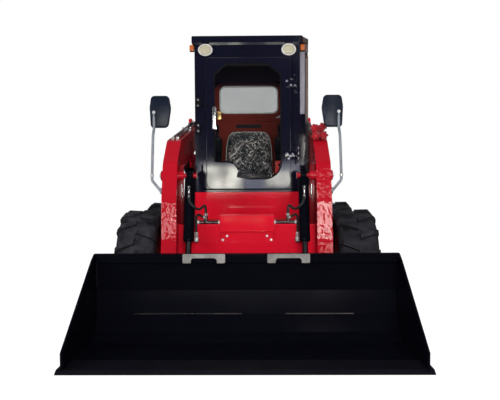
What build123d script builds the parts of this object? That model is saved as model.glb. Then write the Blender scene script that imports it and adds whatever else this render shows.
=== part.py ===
from build123d import *
import math
import os

os.makedirs("parts", exist_ok=True)

# A wheeled skid steer loader, parked with its bucket flat on the floor.
# Millimetres. The front faces -Y, +X is the side of the door's hinges, +Z is up.
# The origin is on the floor, under the middle of the machine's outer box.

# ---- driving dimensions -------------------------------------------------------------------
LENGTH = 3430.0             # cutting edge to rear bumper
BUCKET_WIDTH = 2000.0
BUCKET_HEIGHT = 540.0
TYRE_DIAMETER = 776.0       # over the lugs
TYRE_WIDTH = 295.0
OUTER_TRACK = 1880.0        # over the tyres' outer sides
WHEELBASE = 1085.0
CAB_TOP = 2080.0
CAB_HALF = 445.0            # half the cab body's width
FRONT_HALF = 400.0          # half the cab's front face
ARM_INNER = 475.0
ARM_OUTER = 575.0
GROUND_CLEARANCE = 215.0
WALL = 10.0


def at(behind_edge):
    """Y of a station given by its distance behind the bucket's cutting edge."""
    return behind_edge - LENGTH / 2


# Each tyre stands on the corners of two neighbouring lugs of its staggered rows.
LUGS_PER_SIDE = 14
LUG_HALF = 50.0                      # half a lug's length round the tread
LUG_TOP = math.sqrt((TYRE_DIAMETER / 2) ** 2 - LUG_HALF ** 2)
AXLE_Z = TYRE_DIAMETER / 2 * math.cos(math.pi / LUGS_PER_SIDE - math.atan(LUG_HALF / LUG_TOP))
FRONT_AXLE = (at(1430), AXLE_Z)
REAR_AXLE = (at(1430) + WHEELBASE, AXLE_Z)
WHEEL_X = OUTER_TRACK / 2 - TYRE_WIDTH / 2

LIFT_PIVOT = (at(2950), 1480.0)      # arms on the rear towers
BUCKET_PIN = (at(900), 235.0)        # quick attach on the arms
TILT_UPPER = (at(1040), 1035.0)      # tilt cylinders on the arms
TILT_RADIUS = 180.0                  # quick attach's lever from pin to tilt rod
TILT_ANGLE = 105.0                   # of that lever, from straight back, bucket flat
TILT_LOWER = (BUCKET_PIN[0] + TILT_RADIUS * math.cos(math.radians(TILT_ANGLE)),
              BUCKET_PIN[1] + TILT_RADIUS * math.sin(math.radians(TILT_ANGLE)))
TILT_X = 390.0
LIFT_BASE = (at(3030), 790.0)        # lift cylinders on the towers
LIFT_ROD = (at(1990), 1140.0)        # lift cylinders on the arms
ARM_X = (ARM_INNER + ARM_OUTER) / 2
PIN_GAP = 0.3                        # between a pin and the eye that turns on it
LIFT_PIN_R = 30.0
BASE_PIN_R = 20.0
TILT_PIN_R = 16.0
BUCKET_PIN_R = 22.0
TOW_PIN_R = 16.0

CAB_FRONT = at(1500)
CAB_REAR = at(2470)
CAB_FLOOR = 720.0
DECK = 700.0                          # top of the chain cases
HOOD_HINGE = (at(2491), 1352.0)
REAR_HINGE = (-432.0, at(3352))       # x and y of the rear door's hinge line
DOOR_HINGE = (372.0, at(1482))        # x and y of the cab door's hinge line


# ---- helpers ------------------------------------------------------------------------------
def outline(points, radii=0):
    """Closed face through corner points; radii rounds every corner, or each by its own."""
    if radii == 0:
        return make_face(Polyline(*points, close=True))
    return make_face(FilletPolyline(*points, radius=radii, close=True))


def side_solid(points, x_low, x_high, radii=0):
    """Solid with a side-view outline of (y, z) points, from x_low to x_high."""
    plane = Plane((x_low, 0, 0), x_dir=(0, 1, 0), z_dir=(1, 0, 0))
    return extrude(plane * outline(points, radii), x_high - x_low)


def front_solid(points, y_front, y_back, radii=0):
    """Solid with a front-view outline of (x, z) points, from y_front to y_back."""
    plane = Plane((0, y_back, 0), x_dir=(1, 0, 0), z_dir=(0, -1, 0))
    return extrude(plane * outline(points, radii), y_back - y_front)


def top_solid(points, z_low, z_high, radii=0):
    """Solid with a plan-view outline of (x, y) points, from z_low to z_high."""
    return extrude(Plane((0, 0, z_low)) * outline(points, radii), z_high - z_low)


def block(x_low, x_high, y_low, y_high, z_low, z_high):
    """Plain block between two corners."""
    centre = Pos((x_low + x_high) / 2, (y_low + y_high) / 2, (z_low + z_high) / 2)
    return centre * Box(x_high - x_low, y_high - y_low, z_high - z_low)


def rectangle(a_low, a_high, b_low, b_high):
    """Corner points of a rectangle, for an outline."""
    return [(a_low, b_low), (a_high, b_low), (a_high, b_high), (a_low, b_high)]


def rod(start, end, radius):
    """Round bar between two (x, y, z) points."""
    run = Vector(*end) - Vector(*start)
    return extrude(Plane(start, z_dir=run) * Circle(radius), run.length)


def cross_rod(place, radius, x_low, x_high):
    """Round bar along X at a (y, z) place."""
    return rod((x_low, *place), (x_high, *place), radius)


def tube(points, radii, radius):
    """Bent bar along straight runs joined by arcs."""
    path = FilletPolyline(*points, radius=radii)
    return sweep(Plane(path @ 0, z_dir=path % 0) * Circle(radius), path=path)


def both(shape):
    """The shape and its mirror image across the middle plane."""
    return shape + mirror(shape, Plane.YZ)


def save(name, shape):
    """One STEP file for one node."""
    export_step(shape, f"parts/{name}.step")


# ---- chassis ------------------------------------------------------------------------------
CASE_OUTER = 610.0
TUB_HALF = 455.0
TUB_REAR = at(3300)
TUB_NOSE = [(at(1200), GROUND_CLEARANCE), (TUB_REAR, GROUND_CLEARANCE), (TUB_REAR, DECK),
            (at(1500), DECK), (at(1135), 640), (at(1135), 330)]


def chassis():
    """Belly tub with its firewall and the engine bay's side walls, open above and behind."""
    body = side_solid(TUB_NOSE, -TUB_HALF, TUB_HALF)
    inner = TUB_HALF - WALL
    floor = GROUND_CLEARANCE + WALL
    body -= block(-inner, inner, at(2485), TUB_REAR + 1, floor, DECK + 1)
    wall = [(at(2490), DECK), (TUB_REAR, DECK), (TUB_REAR, 1195), (at(2490), 1300)]
    bay = side_solid(wall, 432, TUB_HALF - 9)
    firewall = block(-432, 432, at(2485), at(2495), DECK - 5, 1300)
    sill = block(-445, 445, TUB_REAR - 12, TUB_REAR, GROUND_CLEARANCE, 460)
    return body + both(bay) + firewall + sill


def chain_case():
    """Closed box outside the tub that carries both axles of one side."""
    shape = [(at(1210), 240), (at(3080), 240), (at(3170), 350), (at(3170), DECK),
             (at(1230), DECK), (at(1150), 620), (at(1150), 320)]
    return side_solid(shape, TUB_HALF, CASE_OUTER)


TOWER = [(at(2790), DECK), (at(3170), DECK), (at(3170), 1240), (at(3065), 1590),
         (at(2850), 1590), (at(2790), 1330)]
TOWER_INNER = (447.0, 467.0)
TOWER_OUTER = (583.0, 603.0)


def tower():
    """Rear upright: two plates that hold the arm and its cylinder, closed behind."""
    plates = Part()
    for low, high in (TOWER_INNER, TOWER_OUTER):
        plates += side_solid(TOWER, low, high, [0, 0, 60, 95, 95, 60])
    web = block(TOWER_INNER[0], TOWER_OUTER[1], at(3150), at(3170), DECK, 1240)
    boss = cross_rod(LIFT_PIVOT, 62, TOWER_OUTER[1], TOWER_OUTER[1] + 10)
    pins = cross_rod(LIFT_PIVOT, LIFT_PIN_R, TOWER_INNER[1] - 1, TOWER_OUTER[0] + 1)
    pins += cross_rod(LIFT_BASE, BASE_PIN_R, TOWER_INNER[1] - 1, TOWER_OUTER[0] + 1)
    return plates + web + boss + pins


def corner_posts():
    """Rear corner posts either side of the engine door."""
    post = [(at(3172), 470), (at(3335), 470), (at(3335), 1130), (at(3290), 1215), (at(3172), 1215)]
    return both(side_solid(post, TUB_HALF + 2, CASE_OUTER))


def rear_bumper():
    """Heavy cross plate with a towing clevis."""
    plan = [(-CASE_OUTER, at(3302)), (CASE_OUTER, at(3302)), (CASE_OUTER, at(3395)),
            (CASE_OUTER - 60, at(3430)), (-CASE_OUTER + 60, at(3430)), (-CASE_OUTER, at(3395))]
    body = top_solid(plan, 250, 455)
    body -= block(-70, 70, at(3340), at(3431), 320, 390)
    body -= Pos(0, at(3392), 0) * Pos(0, 0, 350) * Cylinder(TOW_PIN_R, 220)
    return body


HUB_END = WHEEL_X - 82.5               # where the axle tubes meet the hubs


def axles():
    """Four axle tubes with their flanges on the chain cases."""
    tubes = Part()
    for place in (FRONT_AXLE, REAR_AXLE):
        stub = cross_rod(place, 62, CASE_OUTER, HUB_END)
        stub += cross_rod(place, 105, CASE_OUTER, CASE_OUTER + 10)
        tubes += both(stub)
    return tubes


def tail_lamps():
    """Round lamps on the corner posts."""
    return both(rod((CASE_OUTER - 78, at(3335), 960), (CASE_OUTER - 78, at(3357), 960), 42))


def engine():
    """Engine and pumps as one plain block."""
    return block(-300, 300, at(2560), at(3200), 300, 1130)


# ---- cab ----------------------------------------------------------------------------------
ROOF_LOW = 2030.0
FRAME_BACK = at(1540)                 # where the side walls start behind the front frame
REAR_WALL = (at(2440), CAB_REAR)
SIDE_WALL = 40.0
FLARE_END = at(1940)                  # where the left wall reaches its full width


def cab_side_right():
    """Straight side wall with its window opening."""
    wall = rectangle(FRAME_BACK, CAB_REAR, DECK, ROOF_LOW)
    body = side_solid(wall, CAB_HALF - SIDE_WALL, CAB_HALF)
    return body - side_solid(SIDE_WINDOW, CAB_HALF - SIDE_WALL - 1, CAB_HALF + 1, 70)


def cab_side_left():
    """Side wall that draws in to the front frame, with its window opening."""
    outer = [(-FRONT_HALF - 2, FRAME_BACK), (-CAB_HALF, FLARE_END), (-CAB_HALF, CAB_REAR)]
    inner = [(x + SIDE_WALL, y) for x, y in reversed(outer)]
    body = top_solid(outer + inner, DECK, ROOF_LOW)
    return body - side_solid(SIDE_WINDOW, -CAB_HALF - 1, SIDE_WALL + 1 - FRONT_HALF, 70)


def window_frame():
    """Proud frame of the sliding window on the side of the door's hinges."""
    low, high = SIDE_WINDOW[0], SIDE_WINDOW[2]
    ring = [(low[0] - 42, low[1] - 40), (high[0] + 30, low[1] - 40), (high[0] + 30, high[1] + 40),
            (low[0], high[1] + 40), (low[0] - 42, high[1])]
    body = side_solid(ring, CAB_HALF, CAB_HALF + 24)
    body -= side_solid(SIDE_WINDOW, CAB_HALF - 1, CAB_HALF + 25, 70)
    for y in (at(2000), at(2024)):
        body += block(CAB_HALF + 2, CAB_HALF + 20, y - 10, y + 10, 1075, 1935)
    return body


SIDE_WINDOW = rectangle(at(1610), at(2400), 1080, 1930)
REAR_WINDOW = rectangle(-270, 268, 1588, 1842)


def cab_rear_wall():
    """Back wall with its rounded window and a narrow slot under it."""
    front, back = REAR_WALL
    body = block(-405, 405, front, back, CAB_FLOOR, ROOF_LOW)
    body -= front_solid(REAR_WINDOW, front - 1, back + 1, 60)
    body -= front_solid(rectangle(-110, 125, 1440, 1475), front - 1, front + 12, 12)
    return body


def cab_roof():
    """Roof panel with its front visor and headliner."""
    plan = rectangle(-418, 418, at(1455), at(2490))
    lid = top_solid(plan, ROOF_LOW, CAB_TOP, 12)
    lid = chamfer(lid.faces().sort_by(Axis.Z)[-1].edges(), 5)
    lid -= block(-400, 400, at(1560), at(2430), ROOF_LOW - 1, ROOF_LOW + 25)
    return lid


HINGE_SPANS = ((1690, 1770), (1145, 1220))      # z of the door's two hinge knuckles
DOOR_OPENING = [(-285, 960), (300, 960), (300, 1905), (-285, 1905)]


def cab_front_frame():
    """Front pillars, sill and lamp band around the door opening."""
    frame = front_solid(rectangle(-FRONT_HALF, FRONT_HALF, 905, ROOF_LOW), CAB_FRONT, FRAME_BACK, 12)
    frame -= front_solid(DOOR_OPENING, CAB_FRONT - 1, FRAME_BACK + 1, 60)
    for z_low, z_high in HINGE_SPANS:
        for low, high in ((z_low - 30, z_low - 2), (z_high + 2, z_high + 30)):
            frame += rod((*DOOR_HINGE, low), (*DOOR_HINGE, high), 11)
            frame += block(362, 382, DOOR_HINGE[1], CAB_FRONT, low, high)
    return frame


def cab_floor():
    """Floor plate over the tub, drawn in at the front left with the wall."""
    front, back = FRAME_BACK + 1, REAR_WALL[0] - 1
    plan = [(404, front), (404, back), (-404, back), (-404, FLARE_END), (-361, front)]
    return top_solid(plan, DECK, CAB_FLOOR)


def front_panel():
    """Cover below the cab's sill."""
    return block(-404, 404, CAB_FRONT, FRAME_BACK - 1, DECK, 904)


def side_glass():
    """Pane in each side wall."""
    right = side_solid(rectangle(at(1611), at(2399), 1081, 1929), CAB_HALF - 24, CAB_HALF - 18, 69)
    front, back = (-FRONT_HALF - 2 + 20, FRAME_BACK), (-CAB_HALF + 20, FLARE_END)
    plan = [front, back, (back[0], at(2399)), (back[0] + 6, at(2399)), (back[0] + 6, FLARE_END),
            (front[0] + 6, FRAME_BACK)]
    left = top_solid(plan, 1081, 1929)
    left &= side_solid(rectangle(at(1611), at(2399), 1081, 1929), -CAB_HALF, -CAB_HALF / 2, 69)
    return right + left


def rear_glass():
    """Pane in the back wall."""
    return front_solid(rectangle(-269, 267, 1589, 1841), at(2452), at(2458), 59)


# Side views of the cushion and the backrest: station, z
SEAT_CUSHION = [(1930, 900), (2330, 880), (2340, 975), (1960, 1015), (1915, 975)]
SEAT_BACK = [(2262, 985), (2355, 975), (2415, 1390), (2380, 1430), (2345, 1400)]


def seat():
    """Cushion and backrest, plain."""
    cushion = side_solid([(at(s), z) for s, z in SEAT_CUSHION], -225, 225, 18)
    back = side_solid([(at(s), z) for s, z in SEAT_BACK], -220, 220, 14)
    return cushion + back


def seat_base():
    """Box and slides that carry the seat."""
    return block(-200, 200, at(1960), at(2330), CAB_FLOOR, 872)


# x low, x high, station low, station high, z low, z high
CONSOLE_BOXES = [
    (238, 330, 1800, 2280, CAB_FLOOR, 1010),
    (228, 290, 1880, 2020, 1010, 1340),
]


def consoles():
    """Control boxes on each side of the seat, with a lever grip on each."""
    boxes = Part()
    for x_low, x_high, s_low, s_high, z_low, z_high in CONSOLE_BOXES:
        boxes += block(x_low, x_high, at(s_low), at(s_high), z_low, z_high)
    grip = rod((259, at(1950), 1340), (259, at(1915), 1450), 18)
    return both(boxes + grip)


def side_box():
    """Small box on the front of the console beside the door's hinges."""
    body = block(222, 292, at(1802), at(1878), 1010, 1146)
    return fillet(body.edges().filter_by(Axis.Z), 12)


LAMP_X = 315.0
LAMP_Z = 1980.0


def headlamps():
    """Oval work lamps on the band over the door."""
    lamp = Plane((LAMP_X, CAB_FRONT, LAMP_Z), x_dir=(1, 0, 0), z_dir=(0, -1, 0))
    body = extrude(lamp * Ellipse(56, 46), 28)
    body = chamfer(body.faces().sort_by(Axis.Y)[0].edges(), 6)
    return both(body)


def marker_lamps():
    """Amber lamps at the cab's upper front corners."""
    return both(block(FRONT_HALF + 4, 438, at(1502), at(1538), 1975, 2026))


# ---- cab door -----------------------------------------------------------------------------
# The door leaf and its pane, as front-view corners (x, z) and corner radii.
DOOR_LEAF = [(-316, 925), (330, 925), (330, 1925), (-316, 1925)]
DOOR_LEAF_RADII = [55, 55, 30, 30]
PANE = [(-255, 1130), (-110, 1130), (-30, 1000), (262, 1000), (258, 1800), (155, 1880),
        (-155, 1880), (-255, 1800)]
PANE_RADII = [20, 70, 60, 130, 30, 30, 30, 30]
DOOR_FACE = (at(1474), at(1497))


def door():
    """Door leaf with its cut pane opening."""
    leaf = front_solid(DOOR_LEAF, *DOOR_FACE, DOOR_LEAF_RADII)
    leaf -= front_solid(PANE, DOOR_FACE[0] - 1, DOOR_FACE[1] + 1, PANE_RADII)
    return leaf


def door_glass():
    """Pane that fills the door's opening."""
    inner = [radius - 1 for radius in PANE_RADII]
    points = [(-254, 1131), (-109.4, 1131), (-29.4, 1001), (261, 1001), (257, 1799.5),
              (154.7, 1879), (-154.7, 1879), (-254, 1799.5)]
    return front_solid(points, at(1484), at(1490), inner)


def door_fittings():
    """Grab handle, latch and two hinge leaves."""
    pieces = tube([(-250, DOOR_FACE[0], 1395), (-250, at(1430), 1395), (-250, at(1430), 1535),
                   (-250, DOOR_FACE[0], 1535)], 18, 9)
    for z_low, z_high in HINGE_SPANS:
        pieces += rod((*DOOR_HINGE, z_low), (*DOOR_HINGE, z_high), 11)
        pieces += block(285, 366, at(1466), DOOR_FACE[0], z_low + 10, z_high - 10)
    return pieces


# ---- engine covers ------------------------------------------------------------------------
def rear_door():
    """Engine door with rows of air slots."""
    leaf = block(-424, 424, at(3304), at(3346), 475, 1185)
    leaf = chamfer(leaf.faces().sort_by(Axis.Y)[-1].edges(), 12)
    for row in range(9):
        z = 620 + row * 50
        leaf -= block(-300, 300, at(3303), at(3347), z, z + 24)
    for z in (560, 1020):
        leaf += rod((*REAR_HINGE, z), (*REAR_HINGE, z + 80), 8)
        leaf += block(REAR_HINGE[0], -340, at(3346), REAR_HINGE[1], z + 10, z + 70)
    return leaf


def hood():
    """Engine hood, sloping to the rear, with cooling slots."""
    shape = [(at(2500), 1305), (at(3340), 1200), (at(3340), 1235), (at(3300), 1262), (at(2500), 1345)]
    lid = side_solid(shape, -428, 428)
    for row in range(7):
        y = at(2880) + row * 50
        lid -= block(-280, 280, y, y + 24, 1150, 1400)
    for x in (-300, 240):
        lid += cross_rod(HOOD_HINGE, 8, x, x + 60)
        strap = [(HOOD_HINGE[0], 1346), (HOOD_HINGE[0], 1358), (at(2540), 1354), (at(2540), 1338)]
        lid += side_solid(strap, x + 10, x + 50)
    return lid


# ---- lift arms ----------------------------------------------------------------------------
# One arm's side view from the tail over the top to the elbow, down the leg and back:
# station, z, corner radius
ARM_PROFILE = [
    (3050, 1580, 92), (1225, 1285, 130), (1015, 1120, 120), (935, 873, 200), (915, 600, 200),
    (850, 430, 120), (830, 165, 68), (972, 165, 68), (985, 400, 150), (1075, 600, 150),
    (1105, 850, 150), (1290, 1075, 120), (2800, 1350, 200), (3050, 1385, 92),
]


def arm():
    """One lift arm, a welded box with a lug for its cylinder."""
    points = [(at(s), z) for s, z, r in ARM_PROFILE]
    radii = [r for s, z, r in ARM_PROFILE]
    body = side_solid(points, ARM_INNER, ARM_OUTER, radii)
    lug = [(LIFT_ROD[0] - 60, LIFT_ROD[1] - 45), (LIFT_ROD[0] + 60, LIFT_ROD[1] - 45),
           (LIFT_ROD[0] + 150, LIFT_ROD[1] + 130), (LIFT_ROD[0] - 150, LIFT_ROD[1] + 75)]
    body += side_solid(lug, ARM_INNER, ARM_INNER + 14, [45, 45, 10, 10])
    body += side_solid(lug, ARM_OUTER - 14, ARM_OUTER, [45, 45, 10, 10])
    body += cross_rod(TILT_UPPER, 34, ARM_OUTER, ARM_OUTER + 14)
    body += cross_rod(TILT_UPPER, 30, TILT_X + 42, ARM_INNER + 1)
    body += cross_rod(TILT_UPPER, TILT_PIN_R, TILT_X - 46, TILT_X + 43)
    body += cross_rod(TILT_UPPER, 22, TILT_X - 46, TILT_X - 40)
    body -= cross_rod(LIFT_PIVOT, LIFT_PIN_R + PIN_GAP, ARM_INNER - 1, ARM_OUTER + 1)
    body -= cross_rod(BUCKET_PIN, BUCKET_PIN_R + PIN_GAP, ARM_INNER - 1, ARM_OUTER + 1)
    return body


BEAM_TOP = 700.0


def cross_member():
    """Box beam between the two legs, with the valve cover on it."""
    beam = side_solid(rectangle(at(1030), at(1100), 470, BEAM_TOP), -ARM_INNER, ARM_INNER, 6)
    cover = front_solid(rectangle(-184, 184, 652, 762), at(1018), at(1095), 10)
    return beam + cover


PIPE_PLACE = (at(1046), BEAM_TOP + 11)          # y and z of the pipes across the beam's top
TEE_X = 284.0                                    # where a hose leaves each pipe
FITTING = (349.0, at(1012))                      # x and y of the fitting into the beam's face


def front_pipes():
    """Plated pipes on the cross-member with their tees and the fittings into its face."""
    pipe = cross_rod(PIPE_PLACE, 11, 184, 345)
    pipe += rod((TEE_X, *PIPE_PLACE), (TEE_X, PIPE_PLACE[0], 772), 13)
    fitting = rod((*FITTING, 578), (*FITTING, 642), 12)
    fitting += rod((FITTING[0], FITTING[1], 590), (FITTING[0], at(1030), 590), 10)
    return both(pipe + fitting)


# One hose from a pipe's end to the fitting in the beam's face: x, station, z
FRONT_HOSE = [(345, 1046, 711), (376, 1046, 711), (376, 1046, 756), (349, 1012, 756),
              (349, 1012, 642)]


def front_hoses():
    """Short hose at each end of the cross-member."""
    return both(tube([(x, at(s), z) for x, s, z in FRONT_HOSE], [24, 20, 20], 9))


ARM_TOP_SLOPE = (1580 - 1285) / (3050 - 1225)


def arm_top(station):
    """Height of the arm's top face at a station."""
    return 1285 + (station - 1225) * ARM_TOP_SLOPE


# x, first station, last station of each steel line on the arms' tops
ARM_LINES = [(-545, 1300, 2740), (-510, 1300, 2740), (498, 1334, 2740), (525, 1334, 2740),
             (552, 1334, 2740)]


def arm_tubes():
    """Steel hydraulic lines on the arms' tops, each row held by a clamp at mid-length."""
    lines = Part()
    for x, first, last in ARM_LINES:
        lines += rod((x, at(first), arm_top(first) + 10), (x, at(last), arm_top(last) + 10), 8)
    for side in (-1, 1):
        for station in (2000,):
            ends = (station, station + 36)
            foot = [(at(s), arm_top(s)) for s in ends]
            top = [(at(s), arm_top(s) + 20) for s in reversed(ends)]
            pad = side_solid(foot + top, 487, 563)
            lines += pad if side > 0 else mirror(pad, Plane.YZ)
    return lines


COUPLERS = ((491, 1368), (543, 1372), (497, 1318), (548, 1321))     # x, z of each cap


def coupler_block():
    """Auxiliary hydraulic coupler block with round caps, on the +X elbow."""
    seat_z = arm_top(1330)
    body = side_solid([(at(1250), 1300), (at(1330), seat_z), (at(1330), 1396), (at(1250), 1396)],
                      466, 568)
    for x, z in COUPLERS:
        body += rod((x, at(1250), z), (x, at(1205), z), 23)
    return body


MIRROR_Y = at(975)
STEM_X = 622.0


def mirror_stems():
    """Bent tubes that carry the mirrors."""
    stem = tube([(ARM_OUTER + 8, MIRROR_Y, 932), (STEM_X, MIRROR_Y, 985), (STEM_X, MIRROR_Y, 1470)],
                [30], 10)
    stem += cross_rod((MIRROR_Y, 932), 22, ARM_OUTER, ARM_OUTER + 9)
    return both(stem)


def mirror_heads():
    """Mirror housings."""
    face = [(528, 1360), (645, 1360), (652, 1500), (640, 1575), (522, 1575), (508, 1490)]
    head = front_solid(face, MIRROR_Y - 22, MIRROR_Y + 23, [30, 22, 90, 26, 26, 90])
    head -= rod((STEM_X, MIRROR_Y, 1350), (STEM_X, MIRROR_Y, 1470.5), 10.2)
    return both(head)


# ---- bucket -------------------------------------------------------------------------------
SHELL = 8.0
SIDE_PLATE = 12.0
BUCKET_HALF = 975.0
# Outer side view of the floor and back: station, z
BUCKET_OUTER = [(190, 0), (560, 0), (660, 45), (718, 150), (738, 300), (738, BUCKET_HEIGHT)]
BUCKET_INNER = [(730, BUCKET_HEIGHT), (730, 301), (710, 152), (654, 51), (558, 8), (190, 8)]


def bucket_shell():
    """Bent floor-and-back plate between two side plates."""
    section = [(at(s), z) for s, z in BUCKET_OUTER + BUCKET_INNER]
    shell = side_solid(section, -BUCKET_HALF + SIDE_PLATE, BUCKET_HALF - SIDE_PLATE)
    cheek = [(20, 0), (560, 0), (660, 45), (718, 150), (738, 300), (738, BUCKET_HEIGHT),
             (700, BUCKET_HEIGHT), (630, 505), (20, 110)]
    plate = side_solid([(at(s), z) for s, z in cheek], BUCKET_HALF - SIDE_PLATE, BUCKET_HALF)
    return shell + both(plate)


def cutting_edge():
    """Flat bevelled blade under the front of the floor."""
    blade = [(0, 0), (190, 0), (190, 20), (28, 20), (0, 6)]
    half = BUCKET_WIDTH / 2
    body = side_solid([(at(s), z) for s, z in blade], -half, half)
    slot = side_solid([(at(19), 0), (at(192), 0), (at(192), 21), (at(19), 21)],
                      BUCKET_HALF - SIDE_PLATE, BUCKET_HALF)
    return body - both(slot)


def bucket_band():
    """Reinforcing band along the top of the back."""
    half = BUCKET_HALF - SIDE_PLATE
    return block(-half, half, at(700), at(730), 485, 538)


def step_frames():
    """Two bent plates over the band that frame the footholds."""
    frame = front_solid([(135, 482), (405, 482), (405, 540), (135, 540)], at(690), at(700), 8)
    frame -= front_solid(rectangle(187, 353, 440, 514), at(689), at(701), 20)
    return both(frame)


QUICK_FRONT = at(739)
QUICK_BACK = at(755)


def quick_attach():
    """Plate and lugs between the bucket's back and the arms."""
    plate = front_solid(rectangle(-596, 596, 150, 470), QUICK_FRONT, QUICK_BACK, 15)
    plate -= front_solid(rectangle(-300, 300, 210, 410), QUICK_FRONT - 1, QUICK_BACK + 1, 30)
    plate -= both(block(TILT_X - 27, TILT_X + 27, QUICK_FRONT - 1, QUICK_BACK + 1, 300, 471))
    pin_lug = [(QUICK_BACK, 160), (BUCKET_PIN[0] + 58, 178), (BUCKET_PIN[0] + 58, 292),
               (QUICK_BACK, 400)]
    tilt_lug = [(QUICK_BACK, 200), (TILT_LOWER[0] + 30, 300), (TILT_LOWER[0] + 52, TILT_LOWER[1] + 50),
                (TILT_LOWER[0] - 50, TILT_LOWER[1] + 50), (QUICK_BACK, 440)]
    lugs = Part()
    for low, high in ((454, 470), (580, 596)):
        lugs += side_solid(pin_lug, low, high, [5, 50, 50, 5])
    for low, high in ((TILT_X - 42, TILT_X - 27), (TILT_X + 27, TILT_X + 42)):
        lugs += side_solid(tilt_lug, low, high, [5, 20, 40, 40, 5])
    lugs += cross_rod(BUCKET_PIN, BUCKET_PIN_R, 469, 581)
    lugs += cross_rod(TILT_LOWER, 24, TILT_X - 50, TILT_X - 42)
    lugs += cross_rod(TILT_LOWER, 24, TILT_X + 42, TILT_X + 50)
    return plate + both(lugs)


# ---- wheels -------------------------------------------------------------------------------
RIM_R = 214.0
LUG_BASE_R = 352.0
# Half section of the carcass, from the tread's edge to the bead: x, radius
CARCASS = [(122, 358), (145, 322), (142, 272), (98, 231), (98, 214.8)]
# Half section of the rim with its flange, then the dish and hub: x, radius
RIM_BARREL = [(106, 229), (98.5, 229), (98.5, RIM_R), (-98.5, RIM_R), (-98.5, 229), (-106, 229),
              (-106, RIM_R - 9), (36, RIM_R - 9), (-28, 128), (-28, 58), (-81, 58), (-81, 20),
              (-12, 20), (-12, 118), (56, RIM_R - 9), (106, RIM_R - 9)]


def sector_ring(section, count):
    """Flat-sided ring about X: one sector of the (x, radius) section, repeated."""
    half = math.pi / count
    reach = 1.1 * max(r for x, r in section)
    width = 2 * reach * math.tan(half)
    plane = Plane((0, width / 2, 0), x_dir=(1, 0, 0), z_dir=(0, -1, 0))
    prism = extrude(plane * outline(section), width)
    wedge = side_solid([(0, 0), (reach * math.tan(half), reach), (-reach * math.tan(half), reach)],
                       -TYRE_WIDTH, TYRE_WIDTH)
    sector = prism & wedge
    return Part() + [Rot(360 / count * step, 0, 0) * sector for step in range(count)]


def tyre(side):
    """Tyre centred on the origin, turning about X, with slanted bar lugs; side is +1 or -1."""
    section = CARCASS + [(-x, r) for x, r in reversed(CARCASS)]
    plan = [(6, -LUG_HALF), (6, -6), (147, LUG_HALF), (147, 10)]
    across = [(0, LUG_BASE_R), (0, LUG_TOP), (112, LUG_TOP), (147, LUG_TOP - 38),
              (143, LUG_TOP - 78), (130, LUG_TOP - 78)]
    lug = extrude(Plane((0, 0, LUG_BASE_R - 60)) * outline(plan), 120)
    plane = Plane((0, 120, 0), x_dir=(1, 0, 0), z_dir=(0, -1, 0))
    lug = lug & extrude(plane * outline(across), 240)
    pitch = 360 / LUGS_PER_SIDE
    lugs = []
    for step in range(LUGS_PER_SIDE):
        lugs.append(Rot(180 + step * pitch, 0, 0) * lug)
        lugs.append(Rot(180 + (step + 0.5) * pitch, 0, 0) * mirror(lug, Plane.YZ))
    whole = sector_ring(section, 2 * LUGS_PER_SIDE) + lugs
    return whole if side > 0 else mirror(whole, Plane.XZ)


def rim():
    """Dished rim with its hub, centred on the origin, +X outwards."""
    return sector_ring(RIM_BARREL, 2 * LUGS_PER_SIDE) + cross_rod((0, 0), 21, -81, -10)


# ---- cylinders ----------------------------------------------------------------------------
def along(start, end, distance):
    """Point (y, z) at a distance from start towards end."""
    span = math.dist(start, end)
    return (start[0] + (end[0] - start[0]) * distance / span,
            start[1] + (end[1] - start[1]) * distance / span)


def barrel(base, far, x, radius, length, rod_r, bore_start, eye_r, eye_half, pin_r):
    """Cylinder barrel from its base eye, with the gland at its far end and room for the rod."""
    body = rod((x, *along(base, far, eye_r * 0.7)), (x, *along(base, far, length)), radius)
    body += rod((x, *along(base, far, length)), (x, *along(base, far, length + 22)), radius * 0.86)
    body += cross_rod(base, eye_r, x - eye_half, x + eye_half)
    body -= rod((x, *along(base, far, bore_start)), (x, *along(base, far, length + 23)), rod_r + 1)
    return body - cross_rod(base, pin_r + PIN_GAP, x - eye_half - 1, x + eye_half + 1)


def piston_rod(base, far, x, radius, first, eye_r, eye_half):
    """Piston rod that ends in an eye at far, starting first mm from the base."""
    body = rod((x, *along(base, far, first)), (x, *far), radius)
    return body + cross_rod(far, eye_r, x - eye_half, x + eye_half)


# name, base, far end, x, barrel radius, barrel length, rod radius, rod's start, bore's start,
# eye radius, eye half width, base pin radius
CYLINDERS = [
    ("lift", LIFT_BASE, LIFT_ROD, ARM_X, 44, 960, 24, 330, 320, 42, 30, BASE_PIN_R),
    ("tilt", TILT_UPPER, TILT_LOWER, TILT_X, 36.5, 440, 20, 130, 40, 31, 22, TILT_PIN_R),
]


# ---- every node ---------------------------------------------------------------------------
save("chassis", chassis())
save("chain_cases", both(chain_case()))
save("towers", both(tower()))
save("corner_posts", corner_posts())
save("rear_bumper", rear_bumper())
save("axles", axles())
save("engine", engine())
save("cab_side_left", cab_side_left())
save("cab_side_right", cab_side_right())
save("window_frame", window_frame())
save("cab_rear_wall", cab_rear_wall())
save("cab_roof", cab_roof())
save("cab_front_frame", cab_front_frame())
save("cab_floor", cab_floor())
save("front_panel", front_panel())
save("side_glass", side_glass())
save("rear_glass", rear_glass())
save("seat", seat())
save("seat_base", seat_base())
save("consoles", consoles())
save("side_box", side_box())
save("tail_lamps", tail_lamps())
save("headlamps", headlamps())
save("marker_lamps", marker_lamps())
save("door", door())
save("door_glass", door_glass())
save("door_fittings", door_fittings())
save("rear_door", rear_door())
save("hood", hood())
save("arm_right", arm())
save("arm_left", mirror(arm(), Plane.YZ))
save("cross_member", cross_member())
save("arm_tubes", arm_tubes())
save("front_pipes", front_pipes())
save("front_hoses", front_hoses())
save("coupler_block", coupler_block())
save("mirror_stems", mirror_stems())
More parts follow.
